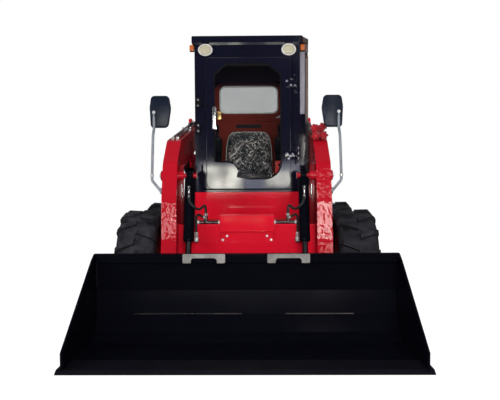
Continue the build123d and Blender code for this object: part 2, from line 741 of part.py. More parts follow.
save("mirror_heads", mirror_heads())
save("bucket_shell", bucket_shell())
save("cutting_edge", cutting_edge())
save("bucket_band", bucket_band())
save("step_frames", step_frames())
save("quick_attach", quick_attach())

TYRES = {1: tyre(1), -1: tyre(-1)}
RIM = rim()
for end, place in (("front", FRONT_AXLE), ("rear", REAR_AXLE)):
    for side_name, side in (("left", -1), ("right", 1)):
        centre = Pos(side * WHEEL_X, *place)
        save(f"tyre_{end}_{side_name}", centre * TYRES[side])
        wheel = RIM if side > 0 else mirror(RIM, Plane.YZ)
        save(f"rim_{end}_{side_name}", centre * wheel)

for row in CYLINDERS:
    name, base, far, x, barrel_r, length, rod_r, rod_start, bore_start, eye_r, eye_half, pin_r = row
    right_barrel = barrel(base, far, x, barrel_r, length, rod_r, bore_start, eye_r, eye_half, pin_r)
    right_rod = piston_rod(base, far, x, rod_r, rod_start, eye_r, eye_half)
    save(f"{name}_barrels", both(right_barrel))
    save(f"{name}_rods", both(right_rod))
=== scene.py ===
"""Looks of a wheeled skid steer loader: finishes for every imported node, and the pieces that
are too fine for the solids. Metres; the front faces -Y, +X is the door's hinge side."""
import math

import bmesh
import bpy
from bpy.props import FloatProperty, FloatVectorProperty, IntProperty, PointerProperty
from mathutils import Matrix, Quaternion, Vector, noise


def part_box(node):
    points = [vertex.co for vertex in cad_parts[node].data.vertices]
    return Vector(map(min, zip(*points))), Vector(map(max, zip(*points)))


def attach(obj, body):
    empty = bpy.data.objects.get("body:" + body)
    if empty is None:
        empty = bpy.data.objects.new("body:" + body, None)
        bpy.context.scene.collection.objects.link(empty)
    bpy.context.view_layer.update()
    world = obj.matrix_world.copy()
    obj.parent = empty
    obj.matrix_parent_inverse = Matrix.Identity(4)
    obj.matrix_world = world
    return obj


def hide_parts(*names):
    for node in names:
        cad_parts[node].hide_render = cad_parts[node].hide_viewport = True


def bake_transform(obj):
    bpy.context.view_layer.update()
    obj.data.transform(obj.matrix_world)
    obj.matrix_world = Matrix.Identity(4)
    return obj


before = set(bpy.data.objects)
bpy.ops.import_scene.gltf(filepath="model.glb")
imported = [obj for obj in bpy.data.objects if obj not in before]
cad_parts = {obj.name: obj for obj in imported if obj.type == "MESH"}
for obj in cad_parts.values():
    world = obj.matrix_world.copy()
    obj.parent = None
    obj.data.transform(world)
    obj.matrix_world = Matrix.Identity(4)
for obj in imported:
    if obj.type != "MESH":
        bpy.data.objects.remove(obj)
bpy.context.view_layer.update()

bl_info = {
    "name": "Skid Steer Loader Looks",
    "version": (1, 0, 0),
    "blender": (4, 5, 0),
    "location": "3D View > Sidebar > Loader",
    "description": "Dresses the packed loader with finishes, tyres, lamps, glass and hoses",
    "category": "Object",
}

EDGE_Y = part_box("cutting_edge")[0].y


def at(behind_edge):
    """Y of a station given by its distance behind the bucket's cutting edge."""
    return EDGE_Y + behind_edge


# ---- mesh helpers
def on_side(side, *spots):
    """Points from (x, station, z) spots of the +X side, set on one side of the machine."""
    return [Vector((side * x, at(station), z)) for x, station, z in spots]


def ring_spots(centre, radius, count, first):
    """Pairs spaced evenly round a centre, from a first angle in degrees."""
    for step in range(count):
        angle = math.radians(first + 360 / count * step)
        yield centre[0] + radius * math.cos(angle), centre[1] + radius * math.sin(angle)


def turned_to(direction):
    """Rotation that carries +Z onto a direction."""
    return Vector(direction).to_track_quat("Z", "Y").to_matrix().to_4x4()


def sharp_edges(faces, degrees=50):
    """Edges between these faces that turn by more than the angle."""
    edges = {edge for face in faces for edge in face.edges}
    return [e for e in edges if e.is_manifold and e.calc_face_angle(0) > math.radians(degrees)]


def bevel(bm, geom, width, segments, affect="EDGES"):
    bmesh.ops.bevel(bm, geom=geom, offset=width, offset_type="OFFSET", affect=affect,
                    segments=segments, profile=0.5, material=-1, clamp_overlap=True)


def soften(bm, faces, width, segments=2, degrees=50):
    """Round the sharp edges of these faces."""
    edges = sharp_edges(faces, degrees)
    if edges and width > 0:
        bevel(bm, edges, width, segments)


def faces_of(verts):
    return list({face for vert in verts for face in vert.link_faces})


def add_bar(bm, start, end, radius, far_radius=None, segments=20, soft=0.0):
    """Round, or with 6 segments hexagonal, bar between two points."""
    start, end = Vector(start), Vector(end)
    run = end - start
    made = bmesh.ops.create_cone(
        bm, cap_ends=True, segments=segments, radius1=radius,
        radius2=radius if far_radius is None else far_radius, depth=run.length,
        matrix=Matrix.Translation((start + end) / 2) @ turned_to(run))
    soften(bm, faces_of(made["verts"]), soft)


def add_block(bm, low, high, soft=0.0, turn=None, segments=2):
    """Block between two corners with softened edges; turn is a matrix about its middle."""
    low, high = Vector(low), Vector(high)
    place = Matrix.Translation((low + high) / 2)
    made = bmesh.ops.create_cube(
        bm, size=1.0, matrix=place @ (turn or Matrix()) @ Matrix.Diagonal((*(high - low), 1)))
    soften(bm, faces_of(made["verts"]), soft, segments)


def add_side_block(bm, side, low, high, soft=0.0, segments=2):
    """Block between two corners of the +X side, set on one side of the machine."""
    x_low, x_high = sorted((side * low[0], side * high[0]))
    add_block(bm, (x_low, *low[1:]), (x_high, *high[1:]), soft, segments=segments)


def grow(bm, faces, thickness):
    """Extrude faces along a vector and point all faces outwards."""
    made = bmesh.ops.extrude_face_region(bm, geom=faces)["geom"]
    moved = [part for part in made if isinstance(part, bmesh.types.BMVert)]
    bmesh.ops.translate(bm, verts=moved, vec=Vector(thickness))
    grown = list({*faces_of(moved), *faces})
    bmesh.ops.recalc_face_normals(bm, faces=grown)
    return grown


def add_plate(bm, points, thickness, soft=0.0):
    """Flat plate through 3-D corner points, given thickness along a vector."""
    face = bm.faces.new([bm.verts.new(p) for p in points])
    soften(bm, grow(bm, [face], thickness), soft)


def spin(bm, verts, edges, axis, steps):
    """Turn a profile fully round an axis through the origin."""
    bmesh.ops.spin(bm, geom=verts + edges, cent=(0, 0, 0), axis=axis, angle=2 * math.pi,
                   steps=steps, use_merge=True, dvec=(0, 0, 0))


def add_turned(bm, profile, steps=64):
    """Closed ring turned about X from a profile of (along, radius) pairs."""
    verts = [bm.verts.new((along, 0, radius)) for along, radius in profile]
    edges = [bm.edges.new(pair) for pair in zip(verts, verts[1:] + verts[:1])]
    spin(bm, verts, edges, (1, 0, 0), steps)


def add_nut(bm, start, end, radius):
    """Hexagonal nut or collar between two points."""
    add_bar(bm, start, end, radius, segments=6, soft=0.001)


def bolt_head(bm, place, direction, size):
    """Washer and hexagon head, size across its corners, standing on a surface."""
    place, way = Vector(place), Vector(direction).normalized()
    add_bar(bm, place, place + way * size * 0.12, size * 0.72, segments=16)
    add_bar(bm, place, place + way * size * 0.62, size * 0.5, segments=6, soft=size * 0.05)


def new_object(name, bm):
    """Object in the scene made from a bmesh, which is freed."""
    mesh = bpy.data.meshes.new(name)
    bm.to_mesh(mesh)
    bm.free()
    obj = bpy.data.objects.new(name, mesh)
    bpy.context.scene.collection.objects.link(obj)
    return obj


def join_mesh(bm, part):
    """Add a finished bmesh to another with its faces outwards."""
    bmesh.ops.recalc_face_normals(part, faces=part.faces)
    mesh = bpy.data.meshes.new("part")
    part.to_mesh(mesh)
    part.free()
    bm.from_mesh(mesh)
    bpy.data.meshes.remove(mesh)


def piece(name, bm, finish, body, slot, sharp=35):
    """Make one object from a bmesh, with its finish; it rides on the body that is named."""
    bmesh.ops.remove_doubles(bm, verts=bm.verts, dist=2e-6)
    bmesh.ops.recalc_face_normals(bm, faces=bm.faces)
    obj = new_object(name, bm)
    obj.data.shade_smooth()
    obj.data.set_sharp_from_angle(angle=math.radians(sharp))
    obj.data.materials.append(FINISHES[finish])
    if body:
        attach(obj, body)
    return obj


def still(name, bm, finish, slot, **more):
    """A piece that stays with the chassis."""
    return piece(name, bm, finish, "chassis", slot, **more)


def new_meshes(count):
    return [bmesh.new() for _ in range(count)]


def hose_mesh(bm, points, radius, resolution=6, sides=4):
    """Add a smooth hose through control points to a bmesh."""
    curve = bpy.data.curves.new("hose_line", "CURVE")
    curve.dimensions = "3D"
    curve.bevel_depth = radius
    curve.bevel_resolution = sides
    curve.resolution_u = resolution
    curve.use_fill_caps = True
    line = curve.splines.new("NURBS")
    line.points.add(len(points) - 1)
    for point, place in zip(line.points, points):
        point.co = (*place, 1)
    line.order_u = 3
    line.use_endpoint_u = True
    holder = bpy.data.objects.new("hose_line", curve)
    bpy.context.scene.collection.objects.link(holder)
    mesh = bpy.data.meshes.new_from_object(holder)
    bm.from_mesh(mesh)
    bpy.data.objects.remove(holder)
    bpy.data.curves.remove(curve)
    bpy.data.meshes.remove(mesh)


# ---- shared shader groups
class Tree:
    """Short hand for building a node tree."""

    def __init__(self, tree):
        self.tree = tree

    def add(self, kind, values=None, **settings):
        node = self.tree.nodes.new(kind)
        for key, value in settings.items():
            setattr(node, key, value)
        for key, value in (values or {}).items():
            node.inputs[key].default_value = value
        return node

    def link(self, source, target):
        self.tree.links.new(source, target)

    def give(self, value, socket):
        """Link a socket into another one, or set a constant on it."""
        if isinstance(value, bpy.types.NodeSocket):
            self.link(value, socket)
        else:
            socket.default_value = value

    def place(self):
        return self.add("ShaderNodeTexCoord").outputs["Object"]

    def split(self, vector):
        """X, Y and Z sockets of a vector."""
        node = self.add("ShaderNodeSeparateXYZ")
        self.link(vector, node.inputs[0])
        return node.outputs

    def noise(self, place, scale, **values):
        node = self.add("ShaderNodeTexNoise", values)
        self.link(place, node.inputs["Vector"])
        self.give(scale, node.inputs["Scale"])
        return node.outputs

    def ramp(self, source, low, high, low_value=0.0, high_value=1.0):
        node = self.add("ShaderNodeMapRange", {1: low, 2: high, 3: low_value, 4: high_value})
        self.link(source, node.inputs[0])
        return node.outputs[0]

    def maths(self, operation, *values):
        """Chain an operation over two or more values."""
        total = values[0]
        for value in values[1:]:
            node = self.add("ShaderNodeMath", operation=operation)
            self.give(total, node.inputs[0])
            self.give(value, node.inputs[1])
            total = node.outputs[0]
        return total

    def plus(self, *values):
        return self.maths("ADD", *values)

    def times(self, *values):
        return self.maths("MULTIPLY", *values)

    def minus(self, a, b):
        return self.maths("SUBTRACT", a, b)

    def size_of(self, value):
        return self.maths("ABSOLUTE", value, 0.0)

    def mix(self, mask, a, b):
        """Blend two colours by a mask."""
        node = self.add("ShaderNodeMix", data_type="RGBA")
        for number, value in ((0, mask), (6, a), (7, b)):
            self.give(value, node.inputs[number])
        return node.outputs[2]

    def relief(self, height, *normals):
        """Bump a surface's normal sockets by a height in metres."""
        bump = self.add("ShaderNodeBump", {"Strength": 1.0, "Distance": 1.0})
        self.link(height, bump.inputs["Height"])
        for normal in normals:
            self.link(bump.outputs[0], normal)

    def show(self, mask, under, over):
        """Put a blend of two shaders on the material's output."""
        blend = self.add("ShaderNodeMixShader")
        for source, socket in zip((mask, under, over), blend.inputs):
            self.link(source, socket)
        output = next(n for n in self.tree.nodes if n.type == "OUTPUT_MATERIAL")
        self.link(blend.outputs[0], output.inputs[0])

    def use(self, name, **values):
        """Place a shared group, its inputs given by name."""
        node = self.add("ShaderNodeGroup", node_tree=bpy.data.node_groups[name])
        for key, value in values.items():
            node.inputs[key.replace("_", " ")].default_value = value
        return node.outputs


def shader_group(name, inputs, outputs):
    """Empty node group with named float or colour sockets; returns tree and ends."""
    kinds = {"f": "NodeSocketFloat", "c": "NodeSocketColor"}
    group = bpy.data.node_groups.new(name, "ShaderNodeTree")
    for label, value in inputs.items():
        kind = "c" if isinstance(value, tuple) else "f"
        socket = group.interface.new_socket(label, in_out="INPUT", socket_type=kinds[kind])
        socket.default_value = value
    for label, kind in outputs.items():
        group.interface.new_socket(label, in_out="OUTPUT", socket_type=kinds[kind])
    tree = Tree(group)
    return tree, tree.add("NodeGroupInput").outputs, tree.add("NodeGroupOutput").inputs


def make_tone_group():
    """Colour that drifts a little over the surface."""
    t, given, out = shader_group("tone_drift", {"Colour": (0.5, 0.5, 0.5, 1), "Amount": 0.2,
                                                "Scale": 4.0}, {"Colour": "c", "Drift": "f"})
    broad = t.noise(t.place(), given["Scale"], Detail=5.0, Roughness=0.6)
    drift = t.ramp(broad[0], 0.3, 0.7)
    low = t.minus(1.0, given["Amount"])
    gain = t.plus(low, t.times(drift, t.times(given["Amount"], 2.0)))
    scale = t.add("ShaderNodeVectorMath", operation="SCALE")
    t.link(given["Colour"], scale.inputs[0])
    t.link(gain, scale.inputs["Scale"])
    t.link(scale.outputs[0], out["Colour"])
    t.link(drift, out["Drift"])


def make_peel_group():
    """Height of sprayed paint: fine orange peel on slightly wavy plate."""
    t, given, out = shader_group("paint_relief", {"Peel": 1.0, "Wave": 1.0, "Wave Scale": 2.5},
                                 {"Height": "f"})
    place = t.place()
    peel = t.noise(place, 160.0, Detail=2.0)
    wave = t.noise(place, given["Wave Scale"], Detail=1.5, Roughness=0.45)
    t.link(t.plus(t.times(peel[0], 0.0001, given["Peel"]), t.times(wave[0], 0.01, given["Wave"])),
           out["Height"])


def make_dust_group():
    """Mask of thin dust: low on the machine, on faces that look up, and in patches."""
    t, given, out = shader_group("settled_dust", {"Amount": 0.3, "Top Height": 0.8, "Scale": 9.0},
                                 {"Mask": "f"})
    place = t.place()
    low = t.minus(1.0, t.maths("DIVIDE", t.split(place)[2], given["Top Height"]))
    up = t.ramp(t.split(t.add("ShaderNodeNewGeometry").outputs["Normal"])[2], 0.2, 1.0, 0.0, 0.6)
    patches = t.noise(place, given["Scale"], Detail=7.0, Roughness=0.65)
    both = t.plus(t.maths("MAXIMUM", low, 0.0), up)
    mask = t.times(both, t.ramp(patches[0], 0.35, 0.75), given["Amount"])
    clipped = t.add("ShaderNodeClamp")
    t.link(mask, clipped.inputs[0])
    t.link(clipped.outputs[0], out["Mask"])


def make_scuff_group():
    """Mask of thin scratches along a turned direction, broken up in patches."""
    t, given, out = shader_group("fine_scuffs", {"Amount": 0.5, "Scale": 6.0, "Turn": 0.6},
                                 {"Mask": "f"})
    place = t.place()
    turn = t.add("ShaderNodeVectorRotate", {"Axis": (0.3, 1.0, 0.2)}, rotation_type="AXIS_ANGLE")
    t.link(place, turn.inputs["Vector"])
    t.link(given["Turn"], turn.inputs["Angle"])
    stretch = t.add("ShaderNodeVectorMath", {1: (1.0, 1.0, 26.0)}, operation="MULTIPLY")
    t.link(turn.outputs[0], stretch.inputs[0])
    lines = t.noise(stretch.outputs[0], given["Scale"], Detail=3.0, Roughness=0.7)
    patches = t.noise(place, 3.0, Detail=3.0)
    t.link(t.times(t.ramp(lines[0], 0.6, 0.74), t.ramp(patches[0], 0.45, 0.65), given["Amount"]),
           out["Mask"])


def make_grain_group():
    """Height of fine moulded grain."""
    t, given, out = shader_group("moulded_grain", {"Scale": 300.0, "Depth": 0.0003},
                                 {"Height": "f"})
    cells = t.add("ShaderNodeTexVoronoi", feature="SMOOTH_F1")
    t.link(t.place(), cells.inputs["Vector"])
    t.link(given["Scale"], cells.inputs["Scale"])
    t.link(t.times(cells.outputs[0], given["Depth"]), out["Height"])


FINISHES = {}


def new_finish(name, **values):
    """Material with one Principled shader; returns its tree helper and shader."""
    material = bpy.data.materials.new(name)
    material.use_nodes = True
    material.node_tree.nodes.clear()
    t = Tree(material.node_tree)
    shader = t.add("ShaderNodeBsdfPrincipled",
                   {key.replace("_", " "): value for key, value in values.items()})
    t.link(shader.outputs[0], t.add("ShaderNodeOutputMaterial").inputs[0])
    FINISHES[name] = material
    return t, shader


def enamel(name, colour, roughness, specular, coat, dust=0.2, dust_top=0.7, wave=0.35, peel=1.0,
           scuffs=0.25, drift=0.1, wave_scale=2.5, tint=(0.28, 0.24, 0.2)):
    """Sprayed enamel on welded plate: drifting tone, orange peel, thin dust and scuffs."""
    t, shader = new_finish(name, Specular_IOR_Level=specular, Coat_Weight=coat,
                           Coat_Roughness=0.06)
    tone = t.use("tone_drift", Colour=(*colour, 1), Amount=drift, Scale=3.0)
    dusty = t.use("settled_dust", Amount=dust, Top_Height=dust_top, Scale=9.0)["Mask"]
    worn = t.use("fine_scuffs", Amount=scuffs, Scale=6.0, Turn=0.6)["Mask"]
    pale = [min(1.0, c * 1.6 + 0.02) for c in colour]
    scuffed = t.mix(worn, tone["Colour"], (*pale, 1))
    t.link(t.mix(dusty, scuffed, (*tint, 1)), shader.inputs["Base Color"])
    t.link(t.plus(roughness, t.times(dusty, 0.5), t.times(worn, 0.25),
                  t.times(tone["Drift"], 0.06)), shader.inputs["Roughness"])
    height = t.use("paint_relief", Peel=peel, Wave=wave, Wave_Scale=wave_scale)["Height"]
    t.relief(height, shader.inputs["Normal"], shader.inputs["Coat Normal"])
    return t, shader


def metal(name, colour, roughness, scuffs=0.3, drift=0.15, dust=0.1, metallic=1.0, **values):
    """Bare or plated steel with fine scuffs."""
    t, shader = new_finish(name, Metallic=metallic, **values)
    tone = t.use("tone_drift", Colour=(*colour, 1), Amount=drift, Scale=12.0)
    worn = t.use("fine_scuffs", Amount=scuffs, Scale=22.0, Turn=0.2)["Mask"]
    dusty = t.use("settled_dust", Amount=dust, Top_Height=1.2, Scale=14.0)["Mask"]
    t.link(t.mix(dusty, tone["Colour"], (0.2, 0.17, 0.14, 1)), shader.inputs["Base Color"])
    t.link(t.plus(roughness, t.times(worn, 0.3), t.times(tone["Drift"], 0.08)),
           shader.inputs["Roughness"])
    return t, shader


def plastic(name, colour, roughness, grain=300.0, depth=0.0002, dust=0.1, specular=0.4,
            tint=(0.22, 0.19, 0.16), **values):
    """Moulded plastic or rubber with fine grain."""
    t, shader = new_finish(name, Specular_IOR_Level=specular, **values)
    tone = t.use("tone_drift", Colour=(*colour, 1), Amount=0.1, Scale=8.0)
    dusty = t.use("settled_dust", Amount=dust, Top_Height=1.0, Scale=12.0)["Mask"]
    t.link(t.mix(dusty, tone["Colour"], (*tint, 1)), shader.inputs["Base Color"])
    t.link(t.plus(roughness, t.times(dusty, 0.3)), shader.inputs["Roughness"])
    t.relief(t.use("moulded_grain", Scale=grain, Depth=depth)["Height"], shader.inputs["Normal"])


def clear_glass(name, tint, roughness=0.01, index=1.45):
    """Clear pane whose shadow stays light; a low index mirrors little."""
    t, shader = new_finish(name, Transmission_Weight=1.0, IOR=index)
    tone = t.use("tone_drift", Colour=(*tint, 1), Amount=0.03, Scale=3.0)
    t.link(tone["Colour"], shader.inputs["Base Color"])
    smear = t.use("fine_scuffs", Amount=0.06, Scale=4.0, Turn=0.9)
    t.link(t.plus(roughness, smear["Mask"]), shader.inputs["Roughness"])
    through = t.add("ShaderNodeBsdfTransparent", {"Color": (0.86, 0.88, 0.88, 1)})
    in_shadow = t.add("ShaderNodeLightPath").outputs["Is Shadow Ray"]
    t.show(in_shadow, shader.outputs[0], through.outputs[0])
    return t, shader


def paint_shade_by_height(t, shader, low, high, colour):
    """Blend the finish's colour into another one above a height; this paints shade on one side of
    that height.
    """
    base = shader.inputs["Base Color"]
    below = base.links[0].from_socket
    t.link(t.mix(t.ramp(t.split(t.place())[2], low, high), below, (*colour, 1)), base)


# Scale and height of the film's folds; then turn, scale and width of its painted highlight lines
FILM_FOLDS = ((9.0, 0.06), (21.0, 0.03), (48.0, 0.012))
FILM_LINES = ((0.85, 30.0, 0.022), (-0.75, 36.0, 0.022), (0.15, 70.0, 0.03))


def crumple(t, shader):
    """Bump of crumpled film, with painted highlights as pale opaque lines along its folds."""
    place = t.place()
    bent = t.add("ShaderNodeVectorMath", {1: (0.025, 0.025, 0.025)}, operation="MULTIPLY_ADD")
    t.link(t.noise(place, 6.0, Detail=1.0)[1], bent.inputs[0])
    t.link(place, bent.inputs[2])
    bent = bent.outputs[0]
    folds = [t.times(t.size_of(t.minus(t.noise(bent, scale, Detail=0.0)[0], 0.5)), height)
             for scale, height in FILM_FOLDS]
    t.relief(t.plus(*folds), shader.inputs["Normal"])
    lines = []
    for turn, scale, width in FILM_LINES:
        turned = t.add("ShaderNodeMapping",
                       {"Rotation": (0.0, turn, 0.0), "Scale": (1.0, 1.0, 7.0)},
                       vector_type="TEXTURE")
        t.link(bent, turned.inputs["Vector"])
        streak = t.noise(turned.outputs[0], scale, Detail=1.0)
        lines.append(t.ramp(t.size_of(t.minus(streak[0], 0.5)), 0.0, width, 1.0, 0.0))
    folded = t.plus(t.maths("MAXIMUM", lines[0], lines[1]), t.times(lines[2], 0.4))
    patch = t.noise(place, 9.0, Detail=1.0)
    crease_highlight = t.times(t.maths("MINIMUM", folded, 1.0), t.ramp(patch[0], 0.38, 0.6, 0.15, 0.95))
    t.link(t.minus(1.0, crease_highlight), shader.inputs["Transmission Weight"])
    t.link(t.mix(crease_highlight, (0.98, 0.98, 0.98, 1), (0.8, 0.64, 0.58, 1)), shader.inputs["Base Color"])


# ---- sizes and colours that a user would change
class LoaderPaint(bpy.types.PropertyGroup):
    """Colours of the machine's finishes."""
    red: FloatVectorProperty(name="Red enamel", description="Arms, covers and cross-member",
                             subtype="COLOR", default=(0.6, 0.007, 0.022), min=0, max=1)
    deep_red: FloatVectorProperty(name="Deep red enamel", description="Chassis and wheels",
                                  subtype="COLOR", default=(0.38, 0.005, 0.014), min=0, max=1)
    cab_black: FloatVectorProperty(name="Cab black", description="Cab panels and door",
                                   subtype="COLOR", default=(0.0045, 0.0047, 0.0135), min=0, max=1)
    bucket_black: FloatVectorProperty(name="Bucket black", description="Bucket and cylinders",
                                      subtype="COLOR", default=(0.0022, 0.0024, 0.0045), min=0,
                                      max=1)
    maroon: FloatVectorProperty(name="Maroon lining", description="Panels behind the seat",
                                subtype="COLOR", default=(0.105, 0.014, 0.01), min=0, max=1)


class LoaderTyre(bpy.types.PropertyGroup):
    """Tyre form over its carcass."""
    lugs: IntProperty(name="Lugs per side", description="Bars round one shoulder of a tyre",
                      default=14, min=6, max=30)
    lug_length: FloatProperty(name="Lug half length", unit="LENGTH", default=0.05, min=0.01,
                              max=0.1, description="Half of a bar's length round the tread")


class LoaderHose(bpy.types.PropertyGroup):
    """Hydraulic lines."""
    hose_radius: FloatProperty(name="Hose radius", unit="LENGTH", default=0.009, min=0.002,
                               max=0.03, description="Rubber hoses of the tilt and lift cylinders")
    pipe_radius: FloatProperty(name="Pipe radius", unit="LENGTH", default=0.0065, min=0.002,
                               max=0.03, description="Steel pipes along the lift cylinders")


class LoaderStage(bpy.types.PropertyGroup):
    """Camera and light."""
    lens: FloatProperty(name="Lens", description="Focal length on a 36 mm wide sensor",
                        default=42.86, min=10, max=200)
    eye: FloatVectorProperty(name="Camera place", subtype="XYZ", unit="LENGTH",
                             description="Where the camera stands",
                             default=(0.0693, -4.7795, 1.0717))
    light: FloatProperty(name="Lamp level", description="Strength of all the soft lamps",
                         default=1.0, min=0, max=10)


def settings(group):
    return getattr(bpy.context.scene, group)


# ---- finishes
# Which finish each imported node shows.
NODE_FINISH = {
    "arm_enamel": ["arm_right", "arm_left"],
    "red_enamel": ["cross_member", "front_panel", "hood", "rear_door", "towers"],
    "deep_red_enamel": ["chassis", "chain_cases", "corner_posts"],
    "cab_enamel": ["cab_side_left", "cab_side_right", "cab_rear_wall", "cab_roof",
                   "cab_front_frame", "door", "quick_attach", "rear_bumper", "seat_base"],
    "bucket_enamel": ["bucket_shell", "bucket_band", "tilt_barrels", "lift_barrels"],
    "blade_steel": ["cutting_edge", "axles"],
    "cast_iron": ["engine"],
    "ribbed_mat": ["cab_floor"],
    "pane_glass": ["side_glass", "door_glass"],
    "rear_pane": ["rear_glass"],
    "seat_vinyl": ["seat"],
    "console_plastic": ["consoles"],
    "mirror_plastic": ["mirror_heads"],
    "lamp_body": ["headlamps"],
    "amber_lens": ["marker_lamps"],
    "plated_steel": ["door_fittings", "mirror_stems", "arm_tubes"],
    "dull_pipe": ["front_pipes"],
    "bare_white": ["step_frames"],
    "window_alloy": ["window_frame"],
    "hose_rubber": ["front_hoses"],
    "signal_orange": ["side_box"],
    "tail_lens": ["tail_lamps"],
    "chromed_rod": ["lift_rods", "tilt_rods"],
    "cap_red": ["coupler_block"],
}


class LOADER_OT_finishes(bpy.types.Operator):
    """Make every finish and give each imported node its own"""
    bl_idname = "loader.finishes"
    bl_label = "Finishes"

    def execute(self, context):
        for make in (make_tone_group, make_peel_group, make_dust_group, make_scuff_group,
                     make_grain_group):
            make()
        paint = settings("loader_paint")
        enamel("red_enamel", paint.red, 0.05, 0.15, 0.15, dust=0.01, wave=0.15, peel=0.4,
               scuffs=0.04, drift=0.06)
        # Much darker copy of the red: painted shade for the gussets behind the tilt cylinders.
        enamel("shaded_red", [0.22 * c for c in paint.red], 0.2, 0.2, 0.2, dust=0.0, wave=0.5)
        # The arms' red is a darker copy of the same paint: painted shade, so the arms look no
        # brighter than the front panel.
        enamel("arm_enamel", [0.64 * c for c in paint.red], 0.06, 0.25, 0.2, dust=0.02, wave=0.34,
               peel=0.5, scuffs=0.06, drift=0.06, wave_scale=26.0)
        enamel("deep_red_enamel", paint.deep_red, 0.34, 0.4, 0.2, dust=0.35, dust_top=0.75)
        enamel("wheel_enamel", paint.deep_red, 0.38, 0.4, 0.2, dust=0.5, dust_top=0.8)
        enamel("cab_enamel", paint.cab_black, 0.04, 0.22, 0.1, dust=0.02, wave=0.1, peel=0.3,
               scuffs=0.03)
        enamel("bucket_enamel", paint.bucket_black, 0.16, 0.03, 0.0, dust=0.004, wave=0.5,
               scuffs=0.05, tint=(0.05, 0.055, 0.075))
        t, lining = enamel("maroon_lining", [1.3 * c for c in paint.maroon], 0.6, 0.03, 0.0,
                           dust=0.0, scuffs=0.0)
        # Painted shade: the lining turns dark violet above 1.8 m, under the roof.
        paint_shade_by_height(t, lining, 1.8, 1.87, (0.012, 0.0065, 0.018))
        metal("blade_steel", (0.005, 0.005, 0.008), 0.4, scuffs=0.15, dust=0.0, metallic=0.0,
              Specular_IOR_Level=0.06)
        metal("plated_steel", (0.62, 0.63, 0.65), 0.2, scuffs=0.2)
        # Very dark base colour: painted reflection, the chrome rods reading dark as when they
        # mirror shaded surroundings.
        metal("chromed_rod", (0.08, 0.08, 0.09), 0.14, scuffs=0.12, dust=0.0)
        metal("zinc_bolt", (0.62, 0.61, 0.6), 0.34, scuffs=0.3, metallic=0.4)
        metal("dark_bolt", (0.03, 0.03, 0.034), 0.4, metallic=0.7)
        metal("cast_iron", (0.05, 0.05, 0.052), 0.6, dust=0.5, metallic=0.4)
        metal("bare_white", (0.24, 0.23, 0.22), 0.5, scuffs=0.5, drift=0.4, metallic=0.2)
        metal("chrome_tube", (0.26, 0.28, 0.32), 0.4, scuffs=0.0, dust=0.0, metallic=0.4)
        # Dull steel of the front pipes, also the bucket bend's painted highlight.
        metal("dull_pipe", (0.16, 0.14, 0.15), 0.25, scuffs=0.2, dust=0.0)
        metal("dark_stud", (0.2, 0.2, 0.24), 0.3, scuffs=0.2, dust=0.0, metallic=0.6)
        # On the tyres the bluish pale on upward faces is dust and painted light: tops lighter as
        # lit from above.
        plastic("tyre_rubber", (0.0075, 0.0075, 0.01), 0.55, grain=140.0, depth=0.0006, dust=0.45,
                specular=0.3, tint=(0.11, 0.112, 0.135))
        plastic("hose_rubber", (0.012, 0.012, 0.013), 0.42, grain=420.0, depth=0.0001, dust=0.05)
        plastic("seal_rubber", (0.005, 0.005, 0.007), 0.6, grain=500.0, specular=0.1, dust=0.0)
        plastic("ribbed_mat", (0.02, 0.02, 0.02), 0.7, grain=120.0, depth=0.0008, dust=0.4)
        plastic("console_plastic", (0.006, 0.006, 0.009), 0.5, grain=420.0, specular=0.08, dust=0.0)
        plastic("mirror_plastic", (0.0045, 0.008, 0.018), 0.3, grain=600.0, depth=0.00004,
                dust=0.01, specular=0.25)
        plastic("headliner_foam", (0.01, 0.007, 0.014), 0.9, grain=260.0, depth=0.0012, dust=0.0)
        plastic("cap_red", (0.36, 0.008, 0.016), 0.4, grain=500.0, depth=0.00005)
        plastic("signal_orange", (0.8, 0.04, 0.03), 0.4, grain=500.0, depth=0.00005, dust=0.0)
        plastic("lamp_body", (0.02, 0.02, 0.022), 0.4, grain=500.0)
        plastic("seat_vinyl", (0.006, 0.006, 0.008), 0.45, grain=240.0, depth=0.0004, dust=0.0,
                specular=0.2)
        plastic("pale_bezel", (0.6, 0.59, 0.56), 0.25, grain=500.0, depth=0.00003)
        # Pale grey of the rear window's seal, also the seat's painted edge highlight.
        plastic("pale_seal", (0.42, 0.42, 0.4), 0.5, grain=500.0, depth=0.00005)
        # Dark below about 1.45 m: painted shade standing in for the shaded arm beside the frame;
        # above that, the frame's own paler colour.
        t, alloy = metal("window_alloy", (0.012, 0.006, 0.01), 0.4, scuffs=0.3, metallic=0.3)
        paint_shade_by_height(t, alloy, 1.42, 1.47, (0.15, 0.11, 0.095))
        metal("pale_strip", (0.31, 0.29, 0.34), 0.5, scuffs=0.3, metallic=0.2)
        metal("brass", (0.62, 0.42, 0.15), 0.3, scuffs=0.3)
        clear_glass("pane_glass", (0.93, 0.96, 0.96), index=1.1)
        clear_glass("rear_pane", (0.38, 0.38, 0.38), index=1.1)
        t, film = clear_glass("clear_film", (0.98, 0.98, 0.98), 0.03)
        crumple(t, film)
        plastic("tail_lens", (0.42, 0.006, 0.006), 0.14, grain=160.0, depth=0.0003,
                Subsurface_Weight=0.1)
        plastic("amber_lens", (0.5, 0.13, 0.035), 0.15, grain=200.0, depth=0.0002,
                Subsurface_Weight=0.1)
        plastic("cream_lens", (0.46, 0.42, 0.3), 0.12, grain=70.0, depth=0.0022,
                Subsurface_Weight=0.1)
        metal("mirror_silver", (0.9, 0.9, 0.9), 0.02, scuffs=0.0, dust=0.0)
        for finish, nodes in NODE_FINISH.items():
            for node in nodes:
                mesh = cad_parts[node].data
                mesh.materials.clear()
                mesh.materials.append(FINISHES[finish])
        return {"FINISHED"}


# ---- wheels
WHEELS = [f"{end}_{side}" for end in ("front", "rear") for side in ("left", "right")]
HALF_TREAD = 0.147
TYRE_RADIUS = 0.388
